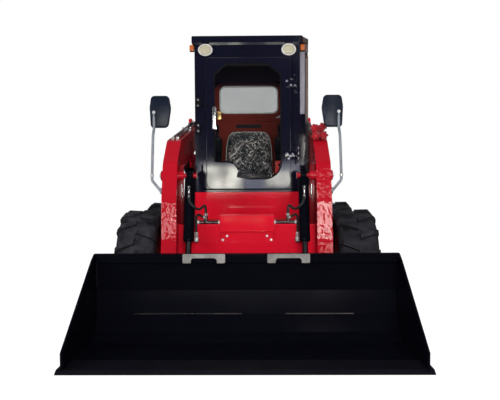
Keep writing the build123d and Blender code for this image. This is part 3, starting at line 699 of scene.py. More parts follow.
# Half section of the carcass, from the middle of the tread to the bead: x, radius
CARCASS = [(0.0, 0.361), (0.06, 0.361), (0.112, 0.356), (0.13, 0.345), (0.1425, 0.322),
           (0.1435, 0.295), (0.14, 0.272), (0.128, 0.252), (0.116, 0.244), (0.108, 0.238),
           (0.103, 0.23), (0.0975, 0.229), (0.0975, 0.217)]
# Half section of the rim, then its dish and hub: x, radius
RIM = [(0.106, 0.229), (0.1035, 0.2315), (0.0992, 0.229), (0.0985, 0.214), (0.03, 0.209),
       (-0.03, 0.209), (-0.0985, 0.214), (-0.0992, 0.229), (-0.1035, 0.2315), (-0.106, 0.229),
       (-0.103, 0.208), (-0.03, 0.203), (0.03, 0.203), (0.02, 0.18), (-0.004, 0.15),
       (-0.026, 0.128), (-0.028, 0.07), (-0.03, 0.058), (-0.081, 0.058), (-0.081, 0.02),
       (-0.012, 0.02), (-0.012, 0.122), (0.012, 0.146), (0.036, 0.176), (0.05, 0.203),
       (0.102, 0.208)]


def wheel_place(name):
    low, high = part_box("tyre_" + name)
    return (low + high) / 2


def add_lug(bm, lugs, step, side, half_length, tread_top):
    """One slanted bar from the middle of the tread over the shoulder, at its turn."""
    plan = [(0.006, -half_length), (0.006, -0.006), (HALF_TREAD, half_length), (HALF_TREAD, 0.01)]
    lug = bmesh.new()
    add_plate(lug, [(x, y, 0.3) for x, y in plan], (0, 0, tread_top - 0.3))
    for corner, normal in (((0.112, 0, tread_top), (38, 0, 35)),
                           ((HALF_TREAD, 0, tread_top - 0.036), (40, 0, 4)),
                           ((0.143, 0, tread_top - 0.078), (40, 0, -13))):
        bmesh.ops.bisect_plane(lug, geom=lug.verts[:] + lug.edges[:] + lug.faces[:],
                               plane_co=corner, plane_no=normal, clear_outer=True)
        rim_edges = [e for e in lug.edges if e.is_boundary]
        bmesh.ops.holes_fill(lug, edges=rim_edges)
    bmesh.ops.recalc_face_normals(lug, faces=lug.faces)
    crown = [e for e in lug.edges if e.is_manifold and e.calc_face_angle(0) > 0.35
             and min(v.co.z for v in e.verts) > 0.33]
    bevel(lug, crown, 0.004, 2)
    if side < 0:
        bmesh.ops.scale(lug, vec=(-1, 1, 1), verts=lug.verts)
    turn = math.pi + (step + (0 if side > 0 else 0.5)) * 2 * math.pi / lugs
    bmesh.ops.rotate(lug, verts=lug.verts, cent=(0, 0, 0), matrix=Matrix.Rotation(turn, 3, "X"))
    join_mesh(bm, lug)


class LOADER_OT_tyres(bpy.types.Operator):
    """Build the lugged tyres"""
    bl_idname = "loader.tyres"
    bl_label = "Tyres"

    def execute(self, context):
        form = settings("loader_tyre")
        tread_top = math.sqrt(TYRE_RADIUS ** 2 - form.lug_length ** 2)
        for name in WHEELS:
            side = 1 if "right" in name else -1
            bm = bmesh.new()
            section = CARCASS + [(-x, r) for x, r in reversed(CARCASS[1:])]
            add_turned(bm, section, steps=84)
            for step in range(form.lugs):
                for half in (1, -1):
                    add_lug(bm, form.lugs, step, half, form.lug_length, tread_top)
            for ring, height in ((0.302, 0.0012), (0.262, 0.001)):
                for half in (1, -1):
                    x = 0.1437 if ring > 0.28 else 0.1345
                    add_turned(bm, [(half * (x - 0.006), ring + 0.004),
                                    (half * (x + height), ring + 0.002),
                                    (half * (x + height), ring - 0.002),
                                    (half * (x - 0.006), ring - 0.004)], steps=84)
            if side < 0:
                bmesh.ops.rotate(bm, verts=bm.verts, cent=(0, 0, 0),
                                 matrix=Matrix.Rotation(math.pi, 3, "Z"))
                bmesh.ops.scale(bm, vec=(-1, 1, 1), verts=bm.verts)
            bmesh.ops.translate(bm, verts=bm.verts, vec=wheel_place(name))
            tyre = piece("tyre_looks_" + name, bm, "tyre_rubber", f"wheel_{name}", "tyre_rubber")
            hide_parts("tyre_" + name)
        return {"FINISHED"}


class LOADER_OT_rims(bpy.types.Operator):
    """Build the rims with their nuts, hub caps and valves"""
    bl_idname = "loader.rims"
    bl_label = "Rims"

    def execute(self, context):
        for name in WHEELS:
            side = 1 if "right" in name else -1
            place = wheel_place(name)
            bm = bmesh.new()
            add_turned(bm, RIM, steps=72)
            add_bar(bm, (-0.081, 0, 0), (-0.006, 0, 0), 0.021, segments=24, soft=0.002)
            hardware = bmesh.new()
            for step in range(8):
                turn = Matrix.Rotation((step + 0.5) * math.pi / 4, 3, "X")
                bolt_head(hardware, turn @ Vector((-0.012, 0, 0.088)), (1, 0, 0), 0.027)
                add_bar(hardware, turn @ Vector((-0.012, 0, 0.088)),
                        turn @ Vector((0.012, 0, 0.088)), 0.007, segments=10)
            add_bar(hardware, (0.03, 0, 0.186), (0.056, 0, 0.176), 0.005, segments=10)
            for bmesh_part in (bm, hardware):
                if side < 0:
                    bmesh.ops.scale(bmesh_part, vec=(-1, 1, 1), verts=bmesh_part.verts)
                bmesh.ops.translate(bmesh_part, verts=bmesh_part.verts, vec=place)
            rim = piece("rim_looks_" + name, bm, "wheel_enamel", f"wheel_{name}", "rim_paint")
            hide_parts("rim_" + name)
            piece("wheel_nuts_" + name, hardware, "dark_bolt", f"wheel_{name}", "rim_paint")
        return {"FINISHED"}


# ---- more mesh helpers
def add_dial(bm, profile, centre, stretch=(1.0, 1.0), steps=48, back=False):
    """Shape turned about Y from (depth, radius) pairs; depth grows towards the front."""
    turned = bmesh.new()
    verts = [turned.verts.new((radius, -depth, 0)) for depth, radius in profile]
    edges = [turned.edges.new(pair) for pair in zip(verts, verts[1:])]
    spin(turned, verts, edges, (0, 1, 0), steps)
    bmesh.ops.remove_doubles(turned, verts=turned.verts, dist=1e-5)
    rims = [e for e in turned.edges if e.is_boundary]
    if rims:
        bmesh.ops.holes_fill(turned, edges=rims)
    bmesh.ops.scale(turned, vec=(stretch[0], -1 if back else 1, stretch[1]), verts=turned.verts)
    bmesh.ops.translate(turned, verts=turned.verts, vec=centre)
    join_mesh(bm, turned)


def rounded_loop(bm, points, radii, segments=8):
    """Face through corner points whose corners are rounded by their own radii."""
    face = bm.faces.new([bm.verts.new(p) for p in points])
    corners = list(face.verts)
    places = [v.co.copy() for v in corners]
    for i, (corner, radius) in enumerate(zip(corners, radii)):
        ahead = (places[(i + 1) % len(places)] - places[i]).normalized()
        behind = (places[i - 1] - places[i]).normalized()
        offset = radius / math.tan(ahead.angle(behind) / 2)
        bevel(bm, [corner], offset, segments, affect="VERTICES")
    return [f for f in bm.faces if f.is_valid]


def add_ring_frame(bm, points, radii, inward, thickness, soft=0.0):
    """Flat frame inside a rounded outline, grown by a thickness vector."""
    part = bmesh.new()
    faces = rounded_loop(part, points, radii, 8)
    bmesh.ops.inset_region(part, faces=faces, thickness=inward, use_even_offset=True,
                           use_boundary=True)
    middle = max(part.faces, key=lambda f: len(f.verts))
    bmesh.ops.delete(part, geom=[middle], context="FACES_ONLY")
    soften(part, grow(part, part.faces[:], thickness), soft, segments=2, degrees=60)
    join_mesh(bm, part)


def add_slab(bm, points, radii, thickness, soft=0.0, segments=6):
    """Solid plate with rounded corners, grown by a thickness vector."""
    part = bmesh.new()
    faces = rounded_loop(part, points, radii, segments)
    soften(part, grow(part, faces, thickness), soft, segments=3, degrees=60)
    join_mesh(bm, part)


BEAD, ROW_PITCH, RING_PITCH = 0.0045, 0.0075, 0.0085      # radius of a weld's beads, their spacing


def add_weld(bm, start, end, size=BEAD, pitch=ROW_PITCH):
    """Row of overlapping beads between two points."""
    start, end = Vector(start), Vector(end)
    run = end - start
    count = max(2, round(run.length / pitch))
    turn = turned_to(run)
    for step in range(count + 1):
        place = start + run * (step / count)
        bmesh.ops.create_icosphere(
            bm, subdivisions=1, radius=size,
            matrix=Matrix.Translation(place) @ turn @ Matrix.Diagonal((1, 1, 1.25, 1)))


def add_weld_ring(bm, centre, radius):
    """Ring of overlapping beads round a boss that lies across the machine."""
    turn = turned_to((1, 0, 0))
    count = max(8, round(2 * math.pi * radius / RING_PITCH))
    for spot in ring_spots((0, 0), radius, count, 0):
        bmesh.ops.create_icosphere(
            bm, subdivisions=1, radius=BEAD,
            matrix=Matrix.Translation(Vector(centre) + turn @ Vector((*spot, 0))))


def rectangle(left, bottom, right, top):
    return [(left, bottom), (right, bottom), (right, top), (left, top)]


def front_points(pairs, y):
    """3-D points from front-view (x, z) pairs."""
    return [(x, y, z) for x, z in pairs]


# ---- cab front
# Profiles of the lamps: depth towards the outside, radius
WORK_LAMP_BACK = [(0, 0.0), (0, 0.052), (0.012, 0.0545), (0.016, 0.0545), (0.017, 0.0)]
WORK_LAMP_BEZEL = [(0.01, 0.0552), (0.022, 0.0558), (0.0265, 0.053), (0.0265, 0.046),
                   (0.021, 0.0425), (0.012, 0.0425), (0.01, 0.0552)]
WORK_LAMP_LENS = [(0.015, 0.0), (0.015, 0.0426), (0.0215, 0.0426), (0.0245, 0.038),
                  (0.0262, 0.026), (0.0272, 0.012), (0.0275, 0.0)]
TAIL_LAMP_RING = [(0.0, 0.0), (0.0, 0.0415), (0.01, 0.0418), (0.013, 0.0395), (0.013, 0.0)]
TAIL_LAMP_LENS = [(0.01, 0.0), (0.01, 0.036), (0.017, 0.035), (0.0205, 0.028),
                  (0.0218, 0.012), (0.0219, 0.0)]
OVAL = (1.0, 0.82)          # the work lamps' width and height against a circle's


class LOADER_OT_lamps(bpy.types.Operator):
    """Build the work lamps, the marker lamps and the tail lamps"""
    bl_idname = "loader.lamps"
    bl_label = "Lamps"

    def execute(self, context):
        low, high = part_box("headlamps")
        bezel, lens, cores, backs = new_meshes(4)
        for side in (-1, 1):
            middle = Vector((side * (high.x - 0.056), high.y, (low.z + high.z) / 2))
            for bm, profile in ((backs, WORK_LAMP_BACK), (bezel, WORK_LAMP_BEZEL),
                                (lens, WORK_LAMP_LENS)):
                add_dial(bm, profile, middle, OVAL)
            for ring in (0.012, 0.024, 0.035):
                foot, top = 0.0275 - ring * 0.12, 0.0278 - ring * 0.09
                add_dial(cores, [(foot, ring + 0.0016), (top, ring), (foot, ring - 0.0016)],
                         middle, OVAL, steps=32)
        still("lamp_backs", backs, "lamp_body", "lamp_lens")
        still("lamp_bezels", bezel, "pale_bezel", "lamp_lens")
        glass = still("lamp_lenses", lens, "cream_lens", "lamp_lens")
        still("lamp_rings", cores, "pale_bezel", "lamp_lens")
        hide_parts("headlamps")

        low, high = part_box("marker_lamps")
        amber, base = new_meshes(2)
        for side in (-1, 1):
            inner, outer = sorted((side * (high.x - 0.034), side * high.x))
            add_block(amber, (inner, low.y, low.z + 0.003), (outer, high.y - 0.008, high.z - 0.002),
                      0.007)
            for rib in range(5):
                y, z = low.y + 0.0012, low.z + 0.0085 + rib * 0.0085
                add_bar(amber, (inner + 0.005, y, z), (outer - 0.005, y, z), 0.0016, segments=8)
            add_block(base, (inner, high.y - 0.01, low.z), (outer, high.y, high.z), 0.003)
        lens = still("marker_lenses", amber, "amber_lens", "amber_lens")
        still("marker_bases", base, "lamp_body", "amber_lens")
        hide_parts("marker_lamps")

        low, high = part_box("tail_lamps")
        red, ring = new_meshes(2)
        for side in (-1, 1):
            middle = Vector((side * (high.x - 0.042), low.y, (low.z + high.z) / 2))
            add_dial(ring, TAIL_LAMP_RING, middle, back=True)
            add_dial(red, TAIL_LAMP_LENS, middle, back=True)
            for radius in (0.012, 0.022, 0.031):
                top = 0.0219 - radius * 0.09
                add_dial(red, [(top - 0.002, radius + 0.0015), (top, radius),
                               (top - 0.002, radius - 0.0015)], middle, steps=32, back=True)
        lens = still("tail_lenses", red, "tail_lens", "tail_lens")
        still("tail_rings", ring, "lamp_body", "tail_lens")
        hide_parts("tail_lamps")
        return {"FINISHED"}


# The pane's outline as front-view corners (x, z) and corner radii.
PANE = [(-0.255, 1.13), (-0.11, 1.13), (-0.03, 1.0), (0.262, 1.0), (0.258, 1.8),
        (0.155, 1.88), (-0.155, 1.88), (-0.255, 1.8)]
PANE_RADII = [0.02, 0.07, 0.06, 0.13, 0.03, 0.03, 0.03, 0.03]
HINGE_SPANS = ((1.69, 1.77), (1.145, 1.22))
# x, z of the bolts on each hinge: on the frame's leaf, then on the door's leaf
FRAME_BOLTS = ((0.366, 1.792), (0.368, 1.752), (0.368, 1.715), (0.366, 1.676),
               (0.384, 1.238), (0.386, 1.2), (0.386, 1.16), (0.384, 1.118))
DOOR_BOLTS = ((0.3, 1.742), (0.33, 1.712), (0.3, 1.194), (0.326, 1.176), (0.312, 1.158))


class LOADER_OT_door(bpy.types.Operator):
    """Build the door's seal, handle, hinges, lock and edge trim"""
    bl_idname = "loader.door"
    bl_label = "Door"

    def execute(self, context):
        low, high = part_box("door")
        face = low.y
        seal = bmesh.new()
        add_ring_frame(seal, front_points(PANE, face - 0.0035), PANE_RADII, 0.011, (0, 0.014, 0),
                       0.002)
        piece("pane_seal", seal, "seal_rubber", "cab_door", "black_paint")

        leaf = rectangle(low.x, low.z, high.x, high.z)
        edge = bmesh.new()
        add_ring_frame(edge, front_points(leaf, face - 0.0025), [0.055, 0.055, 0.03, 0.03], 0.007,
                       (0, 0.006, 0), 0.0012)
        piece("door_edge_trim", edge, "cab_enamel", "cab_door", "black_paint")

        handle = bmesh.new()
        x, out = -0.25, face - 0.034
        for z in (1.4, 1.53):
            add_block(handle, (x - 0.01, out, z - 0.012), (x + 0.01, face, z + 0.012), 0.003)
            add_slab(handle,
                     front_points(rectangle(x - 0.017, z - 0.019, x + 0.017, z + 0.019), face),
                     [0.008] * 4, (0, -0.004, 0), 0.001)
        add_slab(handle, front_points([(x - 0.016, 1.38), (x + 0.014, 1.376), (x + 0.018, 1.55),
                                       (x - 0.013, 1.554)], out), [0.01] * 4, (0, -0.01, 0), 0.004)
        grip = piece("door_handle", handle, "plated_steel", "cab_door", "bright_steel")
        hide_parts("door_fittings")

        lock = bmesh.new()
        add_slab(lock, front_points([(-0.226, 1.452), (-0.198, 1.46), (-0.198, 1.512),
                                     (-0.226, 1.52)], face), [0.006] * 4, (0, -0.009, 0), 0.002)
        add_dial(lock, [(0.0, 0.012), (0.02, 0.0115), (0.022, 0.009), (0.018, 0.007), (0.018, 0.0)],
                 (-0.212, face, 1.486), steps=24)
        piece("door_lock", lock, "brass", "cab_door", "bright_steel")
        knob = bmesh.new()
        add_dial(knob, [(0.0, 0.007), (0.01, 0.007), (0.012, 0.014), (0.02, 0.016), (0.026, 0.012),
                        (0.028, 0.0)], (-0.063, face, 1.046), steps=24)
        add_slab(knob, front_points([(-0.085, 1.018), (0.012, 1.002), (0.02, 1.012), (-0.07, 1.07)],
                                    face), [0.006, 0.004, 0.004, 0.012], (0, -0.005, 0), 0.001)
        piece("door_latch", knob, "dark_bolt", "cab_door", "bright_steel")

        leaves, bolts = new_meshes(2)
        for z_low, z_high in HINGE_SPANS:
            add_bar(leaves, (0.372, at(1.482), z_low), (0.372, at(1.482), z_high), 0.0108,
                    segments=20, soft=0.0015)
            add_slab(leaves, front_points([(0.286, z_low + 0.004), (0.366, z_low + 0.008),
                                           (0.366, z_high - 0.008), (0.286, z_high - 0.004)], face),
                     [0.012, 0.003, 0.003, 0.012], (0, -0.006, 0), 0.0012)
        for x, z in DOOR_BOLTS:
            bolt_head(bolts, (x, face - 0.006, z), (0, -1, 0), 0.0125)
        piece("hinge_leaves", leaves, "cab_enamel", "cab_door", "black_paint")
        piece("hinge_bolts", bolts, "dark_stud", "cab_door", "bright_steel")
        bead = bmesh.new()
        hose_mesh(bead, front_points([(-0.348, 1.115), (-0.345, 0.955), (-0.338, 0.932),
                                      (-0.318, 0.9235), (0.325, 0.9235), (0.344, 0.932),
                                      (0.351, 0.955), (0.352, 1.025)], face - 0.001), 0.0045)
        piece("door_lower_bead", bead, "seal_rubber", "cab_door", "black_paint")

        fixed, stops = new_meshes(2)
        frame_face = at(1.5)
        for x, z in FRAME_BOLTS:
            bolt_head(fixed, (x, frame_face, z), (0, -1, 0), 0.013)
        for z in (1.545, 1.352):
            add_block(stops, (-0.398, frame_face - 0.016, z), (-0.352, frame_face, z + 0.08), 0.006)
        for z in (1.563, 1.607, 1.37, 1.414):
            bolt_head(fixed, (-0.375, frame_face - 0.016, z), (0, -1, 0), 0.011)
        still("frame_bolts", fixed, "dark_stud", "bright_steel")
        still("door_stops", stops, "seal_rubber", "black_paint")
        return {"FINISHED"}


# ---- cab inside
CROWN, WAIST = 0.035, 0.02      # how far a pad's faces stand out, and its sides are pulled in


def cushion_mesh(name, low, high, lean=0.0, taper=0.0):
    """Closed pad; lean shears it back, taper narrows its top."""
    bm = bmesh.new()
    low, high = Vector(low), Vector(high)
    size = high - low
    bmesh.ops.create_cube(bm, size=2.0)
    bmesh.ops.subdivide_edges(bm, edges=bm.edges[:], cuts=13, use_grid_fill=True)
    thin = min(range(3), key=lambda i: size[i])
    wide = [i for i in range(3) if i != thin]
    for vert in bm.verts:
        unit = vert.co.copy()
        edge = max(abs(unit[wide[0]]), abs(unit[wide[1]]))
        round_off = math.sqrt(max(0.0, 1 - 0.45 * max(0, edge - 0.35) ** 2 / 0.42))
        unit[thin] *= round_off
        bulge = (1 - unit[wide[0]] ** 2) * (1 - unit[wide[1]] ** 2)
        for i in wide:
            other = wide[1] if i == wide[0] else wide[0]
            pull = 1 - WAIST / size[i] * (1 - abs(unit[thin]))
            corner = 1 - 0.05 * unit[other] ** 4
            unit[i] *= pull * corner
        place = Vector(low + Vector((size[i] * (unit[i] + 1) / 2 for i in range(3))))
        if abs(vert.co[thin]) > 0.9:
            place[thin] += math.copysign(CROWN * bulge * 0.5, vert.co[thin])
        vert.co = place
    for vert in bm.verts:
        up = (vert.co.z - low.z) / size.z
        vert.co.x *= 1 - taper * (0.5 * up + max(0.0, up - 0.72) ** 2 * 12)
        vert.co.y += lean * (vert.co.z - low.z)
    bmesh.ops.recalc_face_normals(bm, faces=bm.faces)
    return new_object(name, bm)


def puff(obj, pressure=3.0, frames=16, cap=0.012):
    """Swell a pad by cloth simulation, no vertex moving further than the cap."""
    start = [v.co.copy() for v in obj.data.vertices]
    cloth = obj.modifiers.new("cloth", "CLOTH")
    cloth.settings.quality = 6
    cloth.settings.use_pressure = True
    cloth.settings.uniform_pressure_force = pressure
    cloth.settings.effector_weights.gravity = 0
    cloth.settings.tension_stiffness = 18
    cloth.settings.bending_stiffness = 2
    scene = bpy.context.scene
    for number in range(1, frames + 1):
        scene.frame_set(number)
    swollen = obj.evaluated_get(bpy.context.evaluated_depsgraph_get())
    moved = [v.co.copy() for v in swollen.data.vertices]
    obj.modifiers.clear()
    for vert, before, after in zip(obj.data.vertices, start, moved):
        step = after - before
        vert.co = before + (step.normalized() * cap if step.length > cap else step)
    scene.frame_set(1)


BACK_FOOT, BACK_LEAN = 0.985, 0.135      # height of the seat back's foot; its slope
FILM_GAP = 0.0065


def crease_film(bm, seed):
    """Sharp folds that fan over the film."""
    noise.seed_set(11)
    shift = Vector((seed, seed * 0.6, seed * 1.9))
    for vert in bm.verts:
        warped = vert.co * 7.0 + noise.noise_vector(vert.co * 6.0 + shift) * 1.2
        ridge = 1 - abs(noise.noise(warped + shift)) * 2.6
        fine = 1 - abs(noise.noise(warped * 2.7 - shift)) * 2.6
        vert.co += vert.normal * (max(0.0, ridge) * 0.0075 + max(0.0, fine) * 0.0035)


class LOADER_OT_seat(bpy.types.Operator):
    """Build the sprung seat under its creased film"""
    bl_idname = "loader.seat"
    bl_label = "Seat"

    def execute(self, context):
        low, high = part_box("seat")
        front = low.y
        cushion = cushion_mesh("seat_cushion", (low.x + 0.012, front + 0.012, 0.898),
                               (high.x - 0.012, front + 0.43, 1.0))
        rest = cushion_mesh("seat_back", (low.x + 0.016, front + 0.345, BACK_FOOT),
                            (high.x - 0.016, front + 0.43, 1.415), lean=BACK_LEAN, taper=0.2)
        for pad in (cushion, rest):
            puff(pad)
            pad.data.shade_smooth()
            pad.data.materials.append(FINISHES["seat_vinyl"])
            smooth = pad.modifiers.new("smooth", "SUBSURF")
            smooth.levels = smooth.render_levels = 1
            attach(pad, "chassis")
        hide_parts("seat")

        for source, seed in ((cushion, 3.1), (rest, 7.7)):
            film = bmesh.new()
            film.from_mesh(source.data)
            bmesh.ops.subdivide_edges(film, edges=film.edges[:], cuts=2, use_grid_fill=True)
            film.normal_update()
            for vert in film.verts:
                vert.co += vert.normal * FILM_GAP
            film.normal_update()
            crease_film(film, seed)
            piece("seat_film_" + source.name.split("_")[1], film, "clear_film", "chassis",
                  "seat_vinyl", sharp=80)

        # Pale rod along the top edge of the seat back: a painted highlight where the film turns
        # over the edge.
        edge_highlight = bmesh.new()
        rim = [(-0.205, 1.16), (-0.202, 1.26), (-0.19, 1.34), (-0.172, 1.385), (-0.14, 1.408),
               (0.0, 1.414)]
        rim += [(-x, z) for x, z in rim[-2::-1]]
        rim = [(x, front + 0.352 + BACK_LEAN * (z - BACK_FOOT), z) for x, z in rim]
        for start, end in zip(rim, rim[1:]):
            add_bar(edge_highlight, start, end, 0.0035, segments=8)
        still("seat_welt", edge_highlight, "pale_seal", "seat_vinyl")

        frame_bm = bmesh.new()
        add_block(frame_bm, (-0.205, at(1.955), 0.865), (0.205, at(2.335), 0.888), 0.006)
        for side in (-1, 1):
            add_side_block(frame_bm, side, (0.176, at(1.97), 0.846), (0.204, at(2.32), 0.868),
                           0.003)
        bellows = bmesh.new()
        for fold in range(6):
            out = 0.012 if fold % 2 else 0.0
            z = 0.735 + fold * 0.022
            add_block(bellows, (-0.196 - out + 0.01, at(1.966) - out + 0.01, z),
                      (0.196 + out - 0.01, at(2.324) + out - 0.01, z + 0.022), 0.006)
        still("seat_frame", frame_bm, "dark_bolt", "black_paint")
        skirt = still("seat_bellows", bellows, "seal_rubber", "console_plastic")
        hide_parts("seat_base")
        return {"FINISHED"}


def window_outline(grow_by):
    """The rear window's corners (x, z), grown outwards."""
    return rectangle(-0.27 - grow_by, 1.588 - grow_by, 0.268 + grow_by, 1.842 + grow_by)


class LOADER_OT_cab_inside(bpy.types.Operator):
    """Build the linings, the consoles with their levers, and the mat"""
    bl_idname = "loader.cab_inside"
    bl_label = "Cab inside"

    def execute(self, context):
        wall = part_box("cab_rear_wall")[0].y
        lining = bmesh.new()
        add_ring_frame(lining, front_points(window_outline(0.04), wall - 0.008), [0.09] * 4, 0.04,
                       (0, 0.008, 0), 0.001)
        for left, bottom, right, top in ((-0.398, 0.726, 0.398, 1.549),
                                         (-0.398, 1.881, 0.398, 2.026),
                                         (-0.398, 1.549, -0.309, 1.881),
                                         (0.307, 1.549, 0.398, 1.881)):
            add_block(lining, (left, wall - 0.0075, bottom), (right, wall - 0.0005, top))
        add_block(lining, (-0.345, wall - 0.014, 1.516), (0.352, wall - 0.006, 1.526), 0.002)
        add_slab(lining, front_points(rectangle(-0.3, 0.8, 0.31, 1.42),
                                      wall - 0.007), [0.04] * 4, (0, -0.012, 0), 0.004)
        still("rear_lining", lining, "maroon_lining", "black_paint")
        slot = bmesh.new()
        add_slab(slot, front_points(rectangle(-0.118, 1.458, 0.112, 1.49),
                                    wall - 0.0078), [0.01] * 4, (0, -0.004, 0), 0.001)
        still("lining_slot", slot, "seal_rubber", "black_paint")
        seal = bmesh.new()
        add_ring_frame(seal, front_points(window_outline(0), wall - 0.012), [0.06] * 4, 0.012,
                       (0, 0.016, 0), 0.002)
        still("rear_window_seal", seal, "pale_seal", "black_paint")
        outside = bmesh.new()
        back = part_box("cab_rear_wall")[1].y
        add_ring_frame(outside, front_points(window_outline(0.008), back - 0.001), [0.068] * 4,
                       0.016, (0, 0.007, 0), 0.002)
        still("rear_window_rubber", outside, "seal_rubber", "black_paint")

        liner = bmesh.new()
        add_block(liner, (-0.396, at(1.562), 2.018), (0.396, at(2.428), 2.054), 0.01)
        still("headliner", liner, "headliner_foam", "black_paint")
        strips = bmesh.new()
        for z_low, z_high in ((0.73, 1.06), (1.95, 2.02)):
            add_block(strips, (0.399, at(1.56), z_low), (0.4045, at(2.43), z_high))
        still("side_lining", strips, "maroon_lining", "black_paint")

        mat = bmesh.new()
        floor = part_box("cab_floor")[1].z
        add_block(mat, (-0.35, at(1.56), floor), (0.39, at(2.4), floor + 0.005), 0.002)
        for rib in range(15):
            y = at(1.585) + rib * 0.024
            add_bar(mat, (-0.335, y, floor + 0.005), (0.375, y, floor + 0.005), 0.003, segments=8)
        still("floor_mat", mat, "ribbed_mat", "floor_rubber")

        boxes, levers, boots = new_meshes(3)
        for side in (-1, 1):
            for low, high, soft in (((0.238, 1.8, 0.722), (0.33, 2.28, 1.008), 0.014),
                                    ((0.226, 1.88, 1.0), (0.288, 2.02, 1.338), 0.016),
                                    ((0.222, 1.872, 1.2), (0.292, 2.03, 1.345), 0.018)):
                add_side_block(boxes, side, (low[0], at(low[1]), low[2]),
                               (high[0], at(high[1]), high[2]), soft, segments=3)
            for switch in range(3):
                add_block(boxes, (side * 0.284 - 0.012, at(2.07 + switch * 0.05), 1.008),
                          (side * 0.284 + 0.012, at(2.1 + switch * 0.05), 1.016), 0.003)
            x = side * 0.259
            for fold in range(5):
                z = 1.34 + fold * 0.009
                add_bar(boots, (x, at(1.95 - fold * 0.004), z),
                        (x, at(1.95 - fold * 0.004), z + 0.01), 0.026 - fold * 0.0035,
                        far_radius=0.021 - fold * 0.0035, segments=24)
            add_bar(levers, (x, at(1.95), 1.345), (x, at(1.932), 1.395), 0.0065, segments=12)
            hose_mesh(boots, [(x, at(1.934), 1.388), (x, at(1.928), 1.405), (x, at(1.922), 1.428),
                              (x + side * 0.003, at(1.915), 1.45)], 0.0155, sides=6)
            add_block(boots, (x - 0.01, at(1.902), 1.436), (x + 0.01, at(1.922), 1.452), 0.004)
        consoles = still("console_boxes", boxes, "console_plastic", "console_plastic")
        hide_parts("consoles")
        still("lever_rods", levers, "plated_steel", "bright_steel")
        still("lever_grips", boots, "seal_rubber", "console_plastic")

        low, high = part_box("side_box")
        box = bmesh.new()
        add_block(box, low, (high.x, high.y, high.z - 0.03), 0.01, segments=3)
        add_block(box, (low.x, low.y, high.z - 0.034), high, 0.009, segments=3)
        shell = still("side_box_looks", box, "signal_orange", "signal_orange")
        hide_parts("side_box")
        catch = bmesh.new()
        add_block(catch, (low.x + 0.024, low.y - 0.0002, high.z - 0.052),
                  (high.x - 0.024, low.y + 0.004, high.z - 0.02), 0.002)
        still("side_box_catch", catch, "console_plastic", "console_plastic")
        return {"FINISHED"}


# ---- lift arms and hydraulics
LIFT_PIVOT = (at(2.95), 1.48)
BUCKET_PIN = (at(0.9), 0.235)
TILT_UPPER = (at(1.04), 1.035)
LIFT_BASE = (at(3.03), 0.79)
LIFT_ROD = (at(1.99), 1.14)
TILT_X, ARM_X = 0.39, 0.525
ARM_INNER, ARM_OUTER = 0.475, 0.575
TILT_LOWER = (BUCKET_PIN[0] + 0.18 * math.cos(math.radians(105)),
              BUCKET_PIN[1] + 0.18 * math.sin(math.radians(105)))
BEAM_FACE, BEAM_TOP = at(1.03), 0.7


def beyond(base, far, distance):
    """Point (y, z) at a distance from base towards far."""
    span = math.dist(base, far)
    return tuple(b + (f - b) * distance / span for b, f in zip(base, far))


def add_pin_head(red, steel, place, x, side, radius, keeper=0.0):
    """Pin's head on a face at x with its keeper plate and bolt."""
    y, z = place
    add_bar(steel, (side * x, y, z), (side * (x + 0.007), y, z), radius, segments=28, soft=0.0015)
    add_bar(steel, (side * (x + 0.007), y, z), (side * (x + 0.013), y, z), 0.006, segments=6,
            soft=0.0008)
    if keeper:
        add_side_block(red, side, (x, y + radius * 0.55, z - 0.014),
                       (x + 0.006, y + radius + keeper, z + 0.014), 0.003)
        bolt_head(steel, (side * (x + 0.006), y + radius + keeper * 0.55, z), (side, 0, 0), 0.015)


